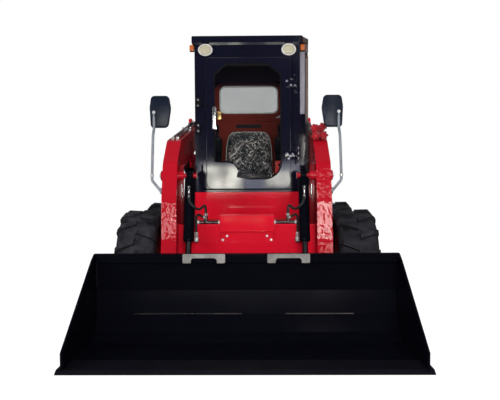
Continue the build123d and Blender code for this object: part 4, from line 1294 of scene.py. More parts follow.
class LOADER_OT_pins(bpy.types.Operator):
    """Build the pin heads, keepers and weld beads of arms, towers and bucket"""
    bl_idname = "loader.pins"
    bl_label = "Pins and welds"

    def execute(self, context):
        for body, spots in (
                ("chassis", ((LIFT_PIVOT, 0.613, 0.034, 0.0), (LIFT_BASE, 0.603, 0.026, 0.03))),
                ("lift_arms", ((TILT_UPPER, 0.589, 0.02, 0.0), (LIFT_ROD, 0.575, 0.024, 0.028))),
                ("bucket", ((BUCKET_PIN, 0.596, 0.028, 0.026),))):
            red, steel = new_meshes(2)
            for place, x, radius, keeper in spots:
                for side in (-1, 1):
                    add_pin_head(red, steel, place, x, side, radius, keeper)
            paint = {"bucket": "cab_enamel", "lift_arms": "arm_enamel"}.get(body, "red_enamel")
            slot = "black_paint" if body == "bucket" else "red_paint"
            if body == "chassis":
                for side in (-1, 1):
                    for spot in ring_spots(LIFT_PIVOT, 0.048, 4, 45):
                        bolt_head(steel, (side * 0.613, *spot), (side, 0, 0), 0.014)
            if len(red.verts):
                piece("keepers_" + body, red, paint, body, slot)
            else:
                red.free()
            piece("pin_heads_" + body, steel, "zinc_bolt", body, "bright_steel")

        beads = bmesh.new()
        for side in (-1, 1):
            x = side * (ARM_INNER - 0.001)
            add_weld(beads, (x, BEAM_FACE, 0.474), (x, BEAM_FACE, BEAM_TOP - 0.004))
            add_weld(beads, (x, BEAM_FACE, BEAM_TOP), (x, at(1.1), BEAM_TOP))
            add_weld_ring(beads, (side * ARM_OUTER, *TILT_UPPER), 0.036)
            add_weld_ring(beads, (side * ARM_INNER, *TILT_UPPER), 0.032)
        piece("arm_welds", beads, "arm_enamel", "lift_arms", "red_paint")
        # The gussets behind the tilt cylinders wear the darkened red: painted shade.
        gussets, clips = new_meshes(2)
        for side in (-1, 1):
            add_side_block(gussets, side, (0.4325, at(1.034), BEAM_TOP - 0.01),
                           (0.4755, at(1.046), 1.112), 0.002)
            hose_mesh(clips, on_side(side, (0.446, 1.028, 0.975), (0.4455, 1.0265, 0.94),
                                     (0.4455, 1.0265, 0.9), (0.446, 1.03, 0.868)), 0.0032)
        piece("leg_gussets", gussets, "shaded_red", "lift_arms", "red_paint")
        piece("grease_pipes", clips, "plated_steel", "lift_arms", "bright_steel")
        beads = bmesh.new()
        for side in (-1, 1):
            add_weld_ring(beads, (side * 0.603, *LIFT_PIVOT), 0.064)
            add_weld(beads, (side * 0.604, at(2.795), 0.702), (side * 0.604, at(3.165), 0.702))
        still("tower_welds", beads, "red_enamel", "red_paint")
        beads = bmesh.new()
        floor_line = [(0.2, 0.01), (0.558, 0.01), (0.653, 0.053), (0.709, 0.153), (0.728, 0.301),
                      (0.728, 0.484)]
        for side in (-1, 1):
            outline = on_side(side, *((0.9625, *spot) for spot in floor_line))
            for start, end in zip(outline, outline[1:]):
                add_weld(beads, start, end, size=0.005)
        for station, z, size in ((0.1905, 0.012, 0.0045), (0.728, 0.483, 0.004)):
            add_weld(beads, (-0.955, at(station), z), (0.955, at(station), z), size, pitch=0.009)
        piece("bucket_welds", beads, "bucket_enamel", "bucket", "bucket_black")
        # Thin dull-steel bars along the bucket's bend, over two spans: a painted highlight line,
        # which also mirrors a glare card.
        bend = bmesh.new()
        for left, right in ((-0.73, -0.03), (0.25, 0.69)):
            add_bar(bend, (left, at(0.7075), 0.1535), (right, at(0.7075), 0.1535), 0.0035,
                    segments=8)
        piece("bend_wear", bend, "dull_pipe", "bucket", "worn_steel")
        return {"FINISHED"}


# x, first and last station of each steel line on the arms' tops
ARM_LINES = [(-0.545, 1.3, 2.74), (-0.51, 1.3, 2.74), (0.498, 1.334, 2.74),
             (0.525, 1.334, 2.74), (0.552, 1.334, 2.74)]


# Route of a line's end hose from its nut: further back, up
LINE_END = ((-0.01, 0.0), (0.025, 0.006), (0.05, 0.008), (0.072, -0.004), (0.078, -0.026))


def arm_top(station):
    """Height of the arm's top face at a station."""
    return 1.285 + (station - 1.225) * (1.58 - 1.285) / (3.05 - 1.225)


def line_point(x, station):
    """Middle of a steel line above the arm's top face."""
    return Vector((x, at(station), arm_top(station) + 0.01))


class LOADER_OT_arm_lines(bpy.types.Operator):
    """Build the nuts, clamps and end hoses of the lines on the arms"""
    bl_idname = "loader.arm_lines"
    bl_label = "Arm lines"

    def execute(self, context):
        nuts, hoses, clamps, bolts = new_meshes(4)
        radius = settings("loader_hose").hose_radius
        for x, first, last in ARM_LINES:
            for inner, outer in ((first + 0.03, first), (last - 0.03, last)):
                add_nut(nuts, line_point(x, inner), line_point(x, outer), 0.0125)
            end = line_point(x, last)
            hose_mesh(hoses, [end + Vector((0, along, up)) for along, up in LINE_END], radius)
        for side in (-1, 1):
            low, high = arm_top(2.48) - 0.001, arm_top(2.514) - 0.001
            x_low, x_high = sorted((side * 0.487, side * 0.563))
            add_plate(clamps, [(x_low, at(2.48), low), (x_high, at(2.48), low),
                               (x_high, at(2.514), high), (x_low, at(2.514), high)],
                      (0, 0, 0.023), 0.003)
            for station in (1.999, 2.48):
                for x in (0.494, 0.556):
                    middle = station + 0.017
                    bolt_head(bolts, (side * x, at(middle), arm_top(middle) + 0.0212), (0, 0, 1),
                              0.012)
        piece("line_nuts", nuts, "zinc_bolt", "lift_arms", "bright_steel")
        piece("line_end_hoses", hoses, "hose_rubber", "lift_arms", "hose_rubber")
        piece("line_clamps", clamps, "seal_rubber", "lift_arms", "black_paint")
        piece("clamp_bolts", bolts, "zinc_bolt", "lift_arms", "bright_steel")
        return {"FINISHED"}


COUPLERS = ((0.486, 1.37), (0.541, 1.378), (0.493, 1.314), (0.551, 1.318))     # x, z


class LOADER_OT_couplers(bpy.types.Operator):
    """Build the coupler block with its collars and lobed caps"""
    bl_idname = "loader.couplers"
    bl_label = "Couplers"

    def execute(self, context):
        block, collars, caps = new_meshes(3)
        add_plate(block, [(0.48, at(1.254), 1.298), (0.48, at(1.33), arm_top(1.33)),
                          (0.48, at(1.33), 1.384), (0.48, at(1.254), 1.384)], (0.076, 0, 0), 0.006)
        for x, z in COUPLERS:
            front = at(1.25)
            add_bar(collars, (x, front + 0.002, z), (x, front - 0.014, z), 0.0195, segments=6,
                    soft=0.0015)
            add_dial(caps, [(0.012, 0.0), (0.012, 0.022), (0.018, 0.023), (0.03, 0.023),
                            (0.036, 0.0205), (0.041, 0.014), (0.0445, 0.0)], (x, front, z),
                     steps=32)
            for lobe_x, lobe_z in ring_spots((x, z), 0.0225, 6, 900 * (x + z)):
                add_bar(caps, (lobe_x, front - 0.012, lobe_z), (lobe_x, front - 0.036, lobe_z),
                        0.0095, segments=16, soft=0.003)
            hose_mesh(caps, [(x, front - 0.006, z + 0.02), (x + 0.006, front - 0.01, z + 0.029),
                             (x + 0.012, front + 0.004, z + 0.026),
                             (x + 0.01, front + 0.012, z + 0.01)], 0.0022, sides=2)
        body = piece("coupler_body", block, "deep_red_enamel", "lift_arms", "red_paint")
        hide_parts("coupler_block")
        piece("coupler_collars", collars, "zinc_bolt", "lift_arms", "bright_steel")
        piece("coupler_caps", caps, "cap_red", "lift_arms", "coupler_caps")
        return {"FINISHED"}


STEM_X, MIRROR_Y = 0.622, at(0.975)
MIRROR_FACE = [(0.528, 1.36), (0.645, 1.36), (0.652, 1.5), (0.64, 1.575), (0.522, 1.575),
               (0.508, 1.49)]
MIRROR_RADII = [0.03, 0.022, 0.09, 0.026, 0.026, 0.09]


MIRROR_MIDDLE = (0.58, 1.468)
STEM_FOOT_Z, STEM_BOW = 0.932, 0.642        # height of the stem's foot; X of its widest part
# x, distance in front of the stem's foot, z
STEM_ROUTE = ((ARM_OUTER + 0.008, 0, STEM_FOOT_Z), (ARM_OUTER + 0.016, 0, 0.9425),
              (STEM_BOW - 0.014, 0, 0.987), (STEM_BOW, 0, 1.005), (STEM_BOW, 0, 1.028),
              (STEM_BOW - 0.004, 0, 1.15), (STEM_X + 0.01, 0, 1.3), (STEM_X + 0.008, 0, 1.325),
              (STEM_X, 0.013, 1.352), (STEM_X, 0.013, 1.38), (STEM_X, 0.013, 1.42),
              (STEM_X, 0.013, 1.468))


class LOADER_OT_mirrors(bpy.types.Operator):
    """Build the mirror housings, their glasses and the stems' clamps"""
    bl_idname = "loader.mirrors"
    bl_label = "Mirrors"

    def execute(self, context):
        shells, glasses, stems, bolts = new_meshes(4)
        mid_x, mid_z = MIRROR_MIDDLE
        for side in (-1, 1):
            def spot(x, z, ahead=0.0):
                return side * x, MIRROR_Y - ahead, z
            radii = MIRROR_RADII[::side]
            add_slab(shells, [spot(x, z, -0.0225) for x, z in MIRROR_FACE][::side], radii,
                     (0, -0.036, 0), 0.01, segments=10)
            inset = [spot(mid_x + (x - mid_x) * 0.86, mid_z + (z - mid_z) * 0.9, -0.0205)
                     for x, z in MIRROR_FACE]
            add_slab(glasses, inset[::side], [r * 0.85 for r in radii], (0, 0.0025, 0), 0.0008,
                     segments=8)
            hose_mesh(stems, [spot(x, z, ahead) for x, ahead, z in STEM_ROUTE], 0.0092, sides=8)
            add_bar(stems, spot(ARM_OUTER, STEM_FOOT_Z), spot(ARM_OUTER + 0.009, STEM_FOOT_Z),
                    0.022, segments=32, soft=0.0015)
            add_dial(bolts, [(0.0, 0.011), (0.006, 0.011), (0.009, 0.008), (0.009, 0.0)],
                     spot(STEM_X, 1.463, 0.0135), steps=20)
            add_side_block(shells, side, (STEM_X - 0.015, MIRROR_Y - 0.0205, 1.432),
                           (STEM_X + 0.015, MIRROR_Y - 0.008, 1.452), 0.003)
            for y, z in ring_spots((MIRROR_Y, STEM_FOOT_Z), 0.0155, 3, 90):
                bolt_head(bolts, (side * (ARM_OUTER + 0.009), y, z), (side, 0, 0), 0.009)
            add_bar(bolts, spot(STEM_BOW, 1.03), spot(STEM_BOW, 1.047), 0.0125, segments=24,
                    soft=0.002)
        shell = piece("mirror_shells", shells, "mirror_plastic", "lift_arms", "mirror_housing")
        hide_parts("mirror_heads")
        piece("mirror_glasses", glasses, "mirror_silver", "lift_arms", "bright_steel")
        tubes = piece("mirror_stem_looks", stems, "chrome_tube", "lift_arms", "bright_steel",
                      sharp=50)
        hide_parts("mirror_stems")
        piece("mirror_bolts", bolts, "zinc_bolt", "lift_arms", "bright_steel")
        return {"FINISHED"}


# Tilt cylinder's port and pipe: z low, z high, radius, corners
TILT_PORT = ((0.885, 0.905, 0.0125, 6), (0.905, 0.945, 0.0085, 20), (0.945, 0.968, 0.0125, 6))
# Pipe above the lift cylinder: distance along it, height over its middle
LIFT_PIPE = ((0.1, 0.04), (0.1, 0.054), (0.125, 0.056), (0.3, 0.056), (0.6, 0.056),
             (0.88, 0.056), (0.905, 0.054), (0.905, 0.04))


class LOADER_OT_cylinders(bpy.types.Operator):
    """Build the glands, ports and pipes of the lift and tilt cylinders"""
    bl_idname = "loader.cylinders"
    bl_label = "Cylinders"

    def execute(self, context):
        glands, ports, wipers = new_meshes(3)
        for side in (-1, 1):
            x = side * TILT_X
            gland, wiper, rod = ((x, *beyond(TILT_UPPER, TILT_LOWER, distance))
                                 for distance in (0.428, 0.458, 0.4625))
            add_bar(glands, gland, wiper, 0.0375, segments=40, soft=0.003)
            add_bar(wipers, wiper, rod, 0.028, segments=32, soft=0.001)
            y = at(0.953)
            for low, high, thick, corners in TILT_PORT:
                add_bar(ports, (x, y, low), (x, y, high), thick, segments=corners, soft=0.001)
            add_bar(ports, (x, y, 0.958), (x, at(0.984), 0.958), 0.0115, segments=20, soft=0.001)
        piece("tilt_glands", glands, "bucket_enamel", "tilt_cylinders", "bucket_black")
        piece("tilt_ports", ports, "plated_steel", "tilt_cylinders", "bright_steel")
        piece("tilt_wipers", wipers, "seal_rubber", "tilt_cylinders", "bucket_black")

        glands, pipes, bands = new_meshes(3)
        way = Vector((0, LIFT_ROD[0] - LIFT_BASE[0], LIFT_ROD[1] - LIFT_BASE[1])).normalized()
        above = Vector((0, way.z, -way.y))
        for side in (-1, 1):
            def spot(distance, lift=0.0):
                return Vector((side * ARM_X, *beyond(LIFT_BASE, LIFT_ROD, distance))) + above * lift
            add_bar(glands, spot(0.945), spot(0.978), 0.0455, segments=40, soft=0.003)
            add_bar(bands, spot(0.978), spot(0.983), 0.034, segments=32, soft=0.001)
            hose_mesh(pipes, [spot(*place) for place in LIFT_PIPE],
                      settings("loader_hose").pipe_radius, sides=4)
            for distance in (0.1, 0.905):
                add_nut(pipes, spot(distance, 0.04), spot(distance, 0.052), 0.0125)
            for distance in (0.36, 0.66):
                add_bar(bands, spot(distance) - way * 0.008, spot(distance) + way * 0.008, 0.0452,
                        segments=40, soft=0.001)
                add_bar(bands, spot(distance, 0.044), spot(distance, 0.066), 0.011, segments=4,
                        soft=0.001)
        piece("lift_glands", glands, "bucket_enamel", "lift_cylinders", "bucket_black")
        piece("lift_pipes", pipes, "plated_steel", "lift_cylinders", "bright_steel")
        piece("lift_bands", bands, "seal_rubber", "lift_cylinders", "bucket_black")
        return {"FINISHED"}


# x, station, z of the hoses' control points on the +X side
FRONT_HOSE = ((0.296, 1.044, 0.744), (0.312, 1.042, 0.752), (0.328, 1.034, 0.768),
              (0.343, 1.022, 0.762), (0.351, 1.013, 0.735), (0.349, 1.012, 0.7),
              (0.349, 1.012, 0.64))
TILT_HOSE = ((0.39, 0.953, 0.89), (0.389, 0.951, 0.868), (0.376, 0.944, 0.845),
             (0.352, 0.945, 0.822), (0.335, 0.975, 0.806), (0.316, 1.012, 0.808),
             (0.3, 1.036, 0.828), (0.288, 1.046, 0.826), (0.284, 1.046, 0.8),
             (0.284, 1.046, 0.765))
# Ends (x, station, z) and radius of the nuts on the front pipes
FRONT_NUTS = (((0.186, 1.046, 0.711), (0.2, 1.046, 0.711), 0.0145),
              ((0.33, 1.046, 0.711), (0.346, 1.046, 0.711), 0.0145),
              ((0.284, 1.046, 0.758), (0.284, 1.046, 0.773), 0.0145),
              ((0.284, 1.0455, 0.744), (0.302, 1.0435, 0.747), 0.0105),
              ((0.349, 1.012, 0.612), (0.349, 1.012, 0.646), 0.0135))


class LOADER_OT_front_lines(bpy.types.Operator):
    """Build the hoses, nuts and bolts across the front of the cross-member"""
    bl_idname = "loader.front_lines"
    bl_label = "Front lines"

    def execute(self, context):
        radius = settings("loader_hose").hose_radius
        short, nuts, grommets, bolts, lips, loops = new_meshes(6)
        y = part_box("cross_member")[0].y
        add_block(lips, (-0.187, y - 0.003, 0.648), (0.187, y + 0.02, 0.655), 0.0015)
        for side in (-1, 1):
            hose_mesh(short, on_side(side, *FRONT_HOSE), radius)
            hose_mesh(loops, on_side(side, *TILT_HOSE), radius)
            for start, end, thick in FRONT_NUTS:
                add_nut(nuts, *on_side(side, start, end), thick)
            add_bar(nuts, *on_side(side, (0.349, 1.012, 0.583), (0.349, 1.012, 0.612)), 0.015,
                    segments=16, soft=0.001)
            spots = on_side(side, (0.349, 1.03, 0.59), (0.167, 1.03, 0.591), (0.138, 1.03, 0.617))
            add_dial(grommets, [(0.0, 0.019), (0.004, 0.019), (0.006, 0.016), (0.006, 0.0)],
                     spots[0], steps=24)
            for spot in spots[1:]:
                bolt_head(bolts, spot, (0, -1, 0), 0.0115)
            add_side_block(lips, side, (0.183, y - 0.003, 0.604), (0.188, y + 0.055, 0.764), 0.0015)
            add_side_block(lips, side, (0.094, y + 0.002, 0.758), (0.106, y + 0.03, 0.768), 0.002)
        looks = piece("front_hose_looks", short, "hose_rubber", "lift_arms", "hose_rubber")
        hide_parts("front_hoses")
        piece("front_nuts", nuts, "zinc_bolt", "lift_arms", "bright_steel")
        piece("front_grommets", grommets, "seal_rubber", "lift_arms", "black_paint")
        piece("beam_bolts", bolts, "zinc_bolt", "lift_arms", "bright_steel")
        piece("cover_lips", lips, "red_enamel", "lift_arms", "red_paint")
        loop = piece("tilt_hoses", loops, "hose_rubber", None, "hose_rubber")
        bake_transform(loop)
        return {"FINISHED"}


# ---- rear and chassis
class LOADER_OT_rear(bpy.types.Operator):
    """Build the radiator, louvres, latches and bolts of the engine end"""
    bl_idname = "loader.rear"
    bl_label = "Engine end"

    def execute(self, context):
        core, shroud = new_meshes(2)
        add_block(shroud, (-0.335, at(3.215), 0.52), (0.335, at(3.268), 1.13), 0.006)
        for fin in range(60):
            x = -0.315 + fin * 0.63 / 59
            add_block(core, (x - 0.0012, at(3.262), 0.545), (x + 0.0012, at(3.274), 1.105))
        for row in range(14):
            z = 0.56 + row * 0.041
            add_block(core, (-0.318, at(3.264), z - 0.0025), (0.318, at(3.272), z + 0.0025))
        still("radiator_shroud", shroud, "dark_bolt", "cast_block")
        still("radiator_fins", core, "zinc_bolt", "cast_block")

        lips, hardware, latch = new_meshes(3)
        face = at(3.346)
        tilt = Matrix.Rotation(math.radians(28), 4, "X")
        for row in range(9):
            z = 0.62 + row * 0.05 + 0.026
            add_block(lips, (-0.304, face - 0.004, z - 0.0125), (0.304, face - 0.001, z + 0.0125),
                      0.001, turn=tilt)
        piece("louvre_lips", lips, "red_enamel", "engine_door", "red_paint")
        add_slab(latch, front_points(rectangle(0.372, 0.78, 0.41, 0.9), face + 0.0002), [0.008] * 4,
                 (0, 0.006, 0), 0.0015)
        add_block(latch, (0.38, face + 0.004, 0.805), (0.402, face + 0.013, 0.88), 0.004)
        piece("engine_latch", latch, "console_plastic", "engine_door", "console_plastic")
        for z in (0.57, 1.03):
            for step in (0.012, 0.048):
                bolt_head(hardware, (-0.362, at(3.352), z + step), (0, 1, 0), 0.011)
        for x in (-0.395, 0.395):
            for z in (0.505, 1.155):
                bolt_head(hardware, (x, face - 0.0005, z), (0, 1, 0), 0.014)
        piece("engine_door_bolts", hardware, "zinc_bolt", "engine_door", "bright_steel")

        mesh_plate, bolts = new_meshes(2)
        slope = (1.235 - 1.345) / 0.84
        for strand in range(40):
            x = -0.275 + strand * 0.55 / 39
            add_bar(mesh_plate, (x, at(2.872), 1.2), (x, at(3.212), 1.2 + slope * 0.1), 0.0016,
                    segments=5)
        for strand in range(24):
            y = at(2.876 + strand * 0.0143)
            add_bar(mesh_plate, (-0.28, y, 1.203), (0.28, y, 1.203), 0.0016, segments=5)
        piece("hood_screen", mesh_plate, "dark_bolt", "engine_hood", "black_paint")
        for x in (-0.29, -0.25, 0.25, 0.29):
            bolt_head(bolts, (x, at(2.522), 1.3555), (0, 0, 1), 0.012)
        grip = bmesh.new()
        hose_mesh(grip, front_points([(-0.07, 1.247), (-0.07, 1.268), (-0.066, 1.282),
                                      (-0.03, 1.284), (0.03, 1.284), (0.066, 1.282), (0.07, 1.268),
                                      (0.07, 1.247)], at(3.322)), 0.0065)
        piece("hood_bolts", bolts, "zinc_bolt", "engine_hood", "bright_steel")
        piece("hood_grip", grip, "console_plastic", "engine_hood", "console_plastic")
        return {"FINISHED"}


class LOADER_OT_chassis_trim(bpy.types.Operator):
    """Build the bolted covers, flange bolts and belly plates of the chassis"""
    bl_idname = "loader.chassis_trim"
    bl_label = "Chassis trim"

    def execute(self, context):
        covers, bolts, belly = new_meshes(3)
        case = 0.61
        for side in (-1, 1):
            ring = [(side * case, at(station), z)
                    for station, z in rectangle(1.86, 0.33, 2.1, 0.6)][::side]
            add_slab(covers, ring, [0.03] * 4, (side * 0.006, 0, 0), 0.0015)
            for station in (1.884, 1.98, 2.076):
                for z in (0.354, 0.576):
                    bolt_head(bolts, (side * (case + 0.006), at(station), z), (side, 0, 0), 0.016)
            for station in (1.43, 2.515):
                for spot in ring_spots((at(station), 0.3862), 0.088, 8, 22.5):
                    bolt_head(bolts, (side * (case + 0.01), *spot), (side, 0, 0), 0.016)
            for z in (0.52, 0.78, 1.08):
                bolt_head(bolts, (side * 0.5, at(3.335), z), (0, 1, 0), 0.015)
                bolt_head(bolts, (side * case, at(3.25), z), (side, 0, 0), 0.015)
            for x in (0.3, 0.44, 0.52):
                bolt_head(bolts, (side * x, at(3.43), 0.352), (0, 1, 0), 0.024)
        for low, high in ((1.35, 1.95), (2.05, 2.7), (2.8, 3.2)):
            outline = [(x, y, 0.2152) for y, x in rectangle(at(low), -0.33, at(high), 0.33)]
            add_slab(belly, outline, [0.03] * 4, (0, 0, -0.005), 0.001)
            for x in (-0.305, 0.0, 0.305):
                for y in (low + 0.028, high - 0.028):
                    bolt_head(bolts, (x, at(y), 0.2102), (0, 0, -1), 0.016)
        still("case_covers", covers, "deep_red_enamel", "dark_red_paint")
        still("belly_plates", belly, "deep_red_enamel", "dark_red_paint")
        still("chassis_bolts", bolts, "zinc_bolt", "bright_steel")

        rails, roof_bolts = new_meshes(2)
        low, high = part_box("cab_roof")
        for side in (-1, 1):
            add_side_block(rails, side, (0.398, low.y + 0.05, high.z - 0.052),
                           (0.41, high.y - 0.03, high.z - 0.04), 0.003)
            for step in range(5):
                y = low.y + 0.1 + step * 0.2
                bolt_head(roof_bolts, (side * 0.418, y, high.z - 0.022), (side, 0, 0), 0.01)
        still("roof_rails", rails, "seal_rubber", "black_paint")
        still("roof_bolts", roof_bolts, "dark_bolt", "bright_steel")

        gutter, strip = new_meshes(2)
        top = high.z - 0.006
        add_plate(gutter, [(0.4185, at(1.462), top), (0.4685, at(1.562), top),
                           (0.4685, at(2.43), top), (0.4185, at(2.43), top)], (0, 0, -0.04), 0.004)
        add_block(gutter, (0.4455, at(1.566), 1.972), (0.4685, at(2.43), top - 0.036), 0.003)
        still("side_gutter", gutter, "window_alloy", "black_paint")
        add_block(strip, (0.4025, at(1.5345), 1.5), (0.44, at(1.54), 1.972), 0.002)
        still("side_strip", strip, "pale_strip", "bare_frames")

        seals = bmesh.new()
        inner = [(0.4205, y, z) for y, z in rectangle(at(1.612), 1.082, at(2.398), 1.928)]
        add_ring_frame(seals, inner, [0.068] * 4, 0.012, (0.012, 0, 0), 0.002)
        still("side_window_seal", seals, "seal_rubber", "black_paint")
        return {"FINISHED"}


class LOADER_OT_quick_attach(bpy.types.Operator):
    """Build the locking handles and their springs behind the bucket"""
    bl_idname = "loader.quick_attach_trim"
    bl_label = "Quick attach trim"

    def execute(self, context):
        handles, springs = new_meshes(2)
        y = at(0.755)
        for side in (-1, 1):
            add_bar(handles, (side * 0.285, y, 0.42), (side * 0.285, y + 0.016, 0.42), 0.022,
                    segments=28, soft=0.002)
            hose_mesh(handles, [(side * 0.285, y + 0.01, 0.42), (side * 0.283, y + 0.013, 0.436),
                                (side * 0.275, y + 0.014, 0.455), (side * 0.26, y + 0.014, 0.463)],
                      0.0075)
            turns = []
            for step in range(56):
                angle = step * math.pi / 4
                turns.append((side * 0.3 + 0.011 * math.cos(angle),
                              y + 0.014 + 0.011 * math.sin(angle), 0.24 + step * 0.0028))
            hose_mesh(springs, turns, 0.0026, resolution=2, sides=2)
            add_bar(springs, (side * 0.3, y + 0.014, 0.225), (side * 0.3, y + 0.014, 0.405), 0.006,
                    segments=12)
        piece("lock_handles", handles, "cab_enamel", "bucket", "black_paint")
        piece("lock_springs", springs, "zinc_bolt", "bucket", "bright_steel")
        return {"FINISHED"}


# ---- stage
# name, place, aim, width, height, watts, seen in reflections
SOFT_LAMPS = [
    ("key_panel", (0.9, -6.6, 2.5), (0.0, -0.6, 0.8), 2.6, 2.2, 240.0, False),
    ("fill_panel", (-4.4, -4.2, 2.6), (0.0, -0.2, 1.0), 2.4, 3.0, 130.0, False),
    ("top_panel", (0.0, 0.6, 5.4), (0.0, 0.2, 0.0), 4.0, 4.0, 75.0, False),
    ("back_panel", (1.5, 5.0, 3.2), (0.0, 1.0, 1.0), 3.0, 2.4, 80.0, False),
]
# Soft-edged bright cards beside the camera that the upright faces mirror:
# x, z, width, height, level, colour
GLARE_CARDS = [(-0.46, 0.955, 0.6, 0.38, 42.0, (1.0, 0.98, 0.88)),
               (0.44, 0.935, 0.46, 0.24, 36.0, (1.0, 0.98, 0.88)),
               (0.99, 1.09, 0.36, 1.02, 26.0, (1.0, 0.95, 0.9)),
               (0.99, 3.25, 0.36, 1.0, 10.0, (1.0, 0.95, 0.9)),
               (-1.1, 1.09, 0.34, 1.02, 10.0, (1.0, 0.98, 0.96)),
               (-0.12, 0.395, 0.62, 0.085, 5.0, (1.0, 0.85, 0.55)),
               (-0.05, 0.97, 1.7, 0.48, 6.5, (0.85, 0.9, 1.15)),
               (-3.2, 1.7, 1.6, 2.6, 1.6, (1.0, 1.0, 1.0)),
               (3.2, 1.7, 1.6, 2.6, 1.6, (1.0, 1.0, 1.0))]
CARD_Y = -4.9
FLOOR_HALF, FLOOR_DROP = 30.0, 0.0015       # half width; how far it lies under the tyres
# One more under the front of the cab's roof, for the film on the seat: the same with its y
CAB_CARD = (0.0, at(1.56), 1.76, 0.7, 0.4, 12.0, (1.0, 0.97, 0.94))
CARD_EDGE = 0.025
# How bright the floor looks to the camera and in mirroring faces, and how much of it glows;
# how much dimmer the room is in light that was scattered or mirrored before
FLOOR_LEVEL, FLOOR_MIRRORED, FLOOR_SHARE = 1.29, 0.06, 0.72
ROOM_DIM_SCATTERED, ROOM_DIM_MIRRORED = 0.58, 0.92


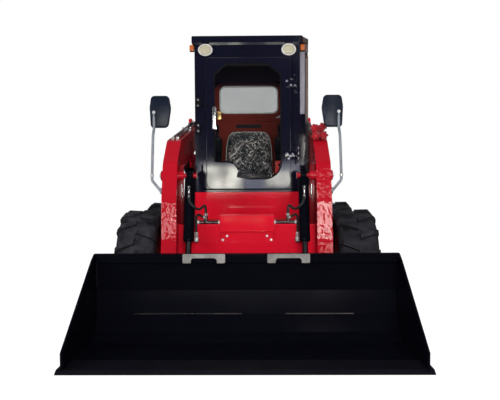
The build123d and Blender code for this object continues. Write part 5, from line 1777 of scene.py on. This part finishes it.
class LOADER_OT_stage(bpy.types.Operator):
    """Lay the pale floor, hang the soft lamps and stand the camera"""
    bl_idname = "loader.stage"
    bl_label = "Stage"

    def execute(self, context):
        scene = context.scene
        stage = settings("loader_stage")
        floor_bm = bmesh.new()
        bmesh.ops.create_grid(floor_bm, x_segments=1, y_segments=1, size=FLOOR_HALF,
                              matrix=Matrix.Translation((0, 0, -FLOOR_DROP)))
        floor = new_object("floor", floor_bm)
        t, shader = new_finish("pale_floor", Roughness=0.9, Specular_IOR_Level=0.1)
        tone = t.use("tone_drift", Colour=(0.62, 0.62, 0.62, 1), Amount=0.015, Scale=2.0)
        t.link(tone["Colour"], shader.inputs["Base Color"])
        glow = t.add("ShaderNodeEmission", {"Color": (1, 1, 1, 1)})
        rays = t.add("ShaderNodeLightPath").outputs
        camera, mirror = rays["Is Camera Ray"], rays["Is Glossy Ray"]
        t.link(t.plus(t.times(camera, FLOOR_LEVEL), t.times(mirror, FLOOR_MIRRORED)),
               glow.inputs["Strength"])
        t.show(t.maths("MAXIMUM", t.times(camera, FLOOR_SHARE), mirror), shader.outputs[0],
               glow.outputs[0])
        floor.data.materials.append(FINISHES["pale_floor"])

        world = bpy.data.worlds.new("pale_room")
        scene.world = world
        world.use_nodes = True
        world.node_tree.nodes.clear()
        w = Tree(world.node_tree)
        rays = w.add("ShaderNodeLightPath").outputs
        back = w.add("ShaderNodeBackground", {"Color": (1, 1, 1, 1)})
        scattered = w.times(w.maths("MINIMUM", rays["Diffuse Depth"], 1.0), -ROOM_DIM_SCATTERED)
        mirrored = w.times(w.maths("MINIMUM", rays["Glossy Depth"], 1.0), -ROOM_DIM_MIRRORED)
        w.link(w.plus(1.0, w.maths("MINIMUM", scattered, mirrored)), back.inputs["Strength"])
        w.link(back.outputs[0], w.add("ShaderNodeOutputWorld").inputs[0])

        for name, place, aim, width, height, watts, mirrored in SOFT_LAMPS:
            lamp = bpy.data.lights.new(name, "AREA")
            lamp.shape, lamp.size, lamp.size_y = "RECTANGLE", width, height
            lamp.energy = watts * stage.light
            holder = bpy.data.objects.new(name, lamp)
            scene.collection.objects.link(holder)
            holder.location = place
            holder.visible_camera = holder.visible_transmission = False
            holder.visible_glossy = mirrored
            holder.rotation_euler = (Vector(aim) - Vector(place)).to_track_quat("-Z",
                                                                                "Y").to_euler()

        cards = [(x, CARD_Y - 0.02 * number, *rest) for number,
                 (x, *rest) in enumerate(GLARE_CARDS)]
        for number, (x, y, z, width, height, level, colour) in enumerate(cards + [CAB_CARD]):
            card_bm = bmesh.new()
            bmesh.ops.create_grid(card_bm, x_segments=1, y_segments=1, size=0.5)
            bmesh.ops.scale(card_bm, vec=(width, height, 1), verts=card_bm.verts)
            bmesh.ops.rotate(card_bm, verts=card_bm.verts,
                             matrix=Matrix.Rotation(math.pi / 2, 3, "X"))
            bmesh.ops.translate(card_bm, verts=card_bm.verts, vec=(x, y, z))
            card = new_object(f"glare_card_{number + 1}", card_bm)
            card.visible_camera = card.visible_diffuse = card.visible_shadow = False
            card.visible_transmission = False
            t, shader = new_finish(f"card_{number + 1}", Base_Color=(0, 0, 0, 1),
                                   Specular_IOR_Level=0.0, Emission_Color=(*colour, 1))
            place = t.place()
            across, _, along = t.split(place)
            soft = [t.ramp(t.size_of(t.minus(distance, middle)), span / 2, span / 2 - CARD_EDGE)
                    for distance, middle, span in ((across, x, width), (along, z, height))]
            blotch = t.noise(place, 5.5, Detail=4.0, Roughness=0.65)
            patchy = t.times(t.ramp(blotch[0], 0.36, 0.56, 0.22, 1.0), level)
            t.link(t.times(t.times(*soft), patchy), shader.inputs["Emission Strength"])
            card.data.materials.append(FINISHES[f"card_{number + 1}"])

        camera = bpy.data.cameras.new("camera")
        camera.sensor_width = 36.0
        camera.lens = stage.lens
        eye = bpy.data.objects.new("camera", camera)
        scene.collection.objects.link(eye)
        eye.location = stage.eye
        yaw, pitch, roll = CAMERA_TURN
        way = Vector((-math.tan(yaw), 1.0, -math.tan(pitch) / math.cos(yaw)))
        eye.rotation_mode = "QUATERNION"
        eye.rotation_quaternion = way.to_track_quat("-Z", "Y") @ Quaternion((0, 0, 1), roll)
        scene.camera = eye
        scene.view_settings.view_transform = "Standard"
        return {"FINISHED"}


CAMERA_TURN = (0.01155, 0.05014, -0.00503)      # yaw to -X, pitch down and roll, in radians


# ---- panel and registration
OPERATORS = [
    LOADER_OT_finishes, LOADER_OT_tyres, LOADER_OT_rims, LOADER_OT_lamps, LOADER_OT_door,
    LOADER_OT_seat, LOADER_OT_cab_inside, LOADER_OT_pins, LOADER_OT_arm_lines,
    LOADER_OT_couplers, LOADER_OT_mirrors, LOADER_OT_cylinders, LOADER_OT_front_lines,
    LOADER_OT_rear, LOADER_OT_chassis_trim, LOADER_OT_quick_attach, LOADER_OT_stage,
]
GROUPS_OF_SETTINGS = {"loader_paint": LoaderPaint, "loader_tyre": LoaderTyre,
                      "loader_hose": LoaderHose, "loader_stage": LoaderStage}


class LOADER_PT_panel(bpy.types.Panel):
    """Lists the loader's pieces and their settings"""
    bl_idname = "LOADER_PT_panel"
    bl_label = "Loader"
    bl_space_type = "VIEW_3D"
    bl_region_type = "UI"
    bl_category = "Loader"

    def draw(self, context):
        layout = self.layout
        for name, group in GROUPS_OF_SETTINGS.items():
            box = layout.box()
            for key in group.__annotations__:
                box.prop(getattr(context.scene, name), key)
        for operator in OPERATORS:
            layout.operator(operator.bl_idname)


CLASSES = [*GROUPS_OF_SETTINGS.values(), *OPERATORS, LOADER_PT_panel]


def register():
    for made in CLASSES:
        bpy.utils.register_class(made)
    for name, group in GROUPS_OF_SETTINGS.items():
        setattr(bpy.types.Scene, name, PointerProperty(type=group))


def unregister():
    for name in GROUPS_OF_SETTINGS:
        delattr(bpy.types.Scene, name)
    for made in reversed(CLASSES):
        bpy.utils.unregister_class(made)


def main():
    register()
    for operator in OPERATORS:
        family, name = operator.bl_idname.split(".")
        getattr(getattr(bpy.ops, family), name)()


if __name__ == "__main__":
    main()
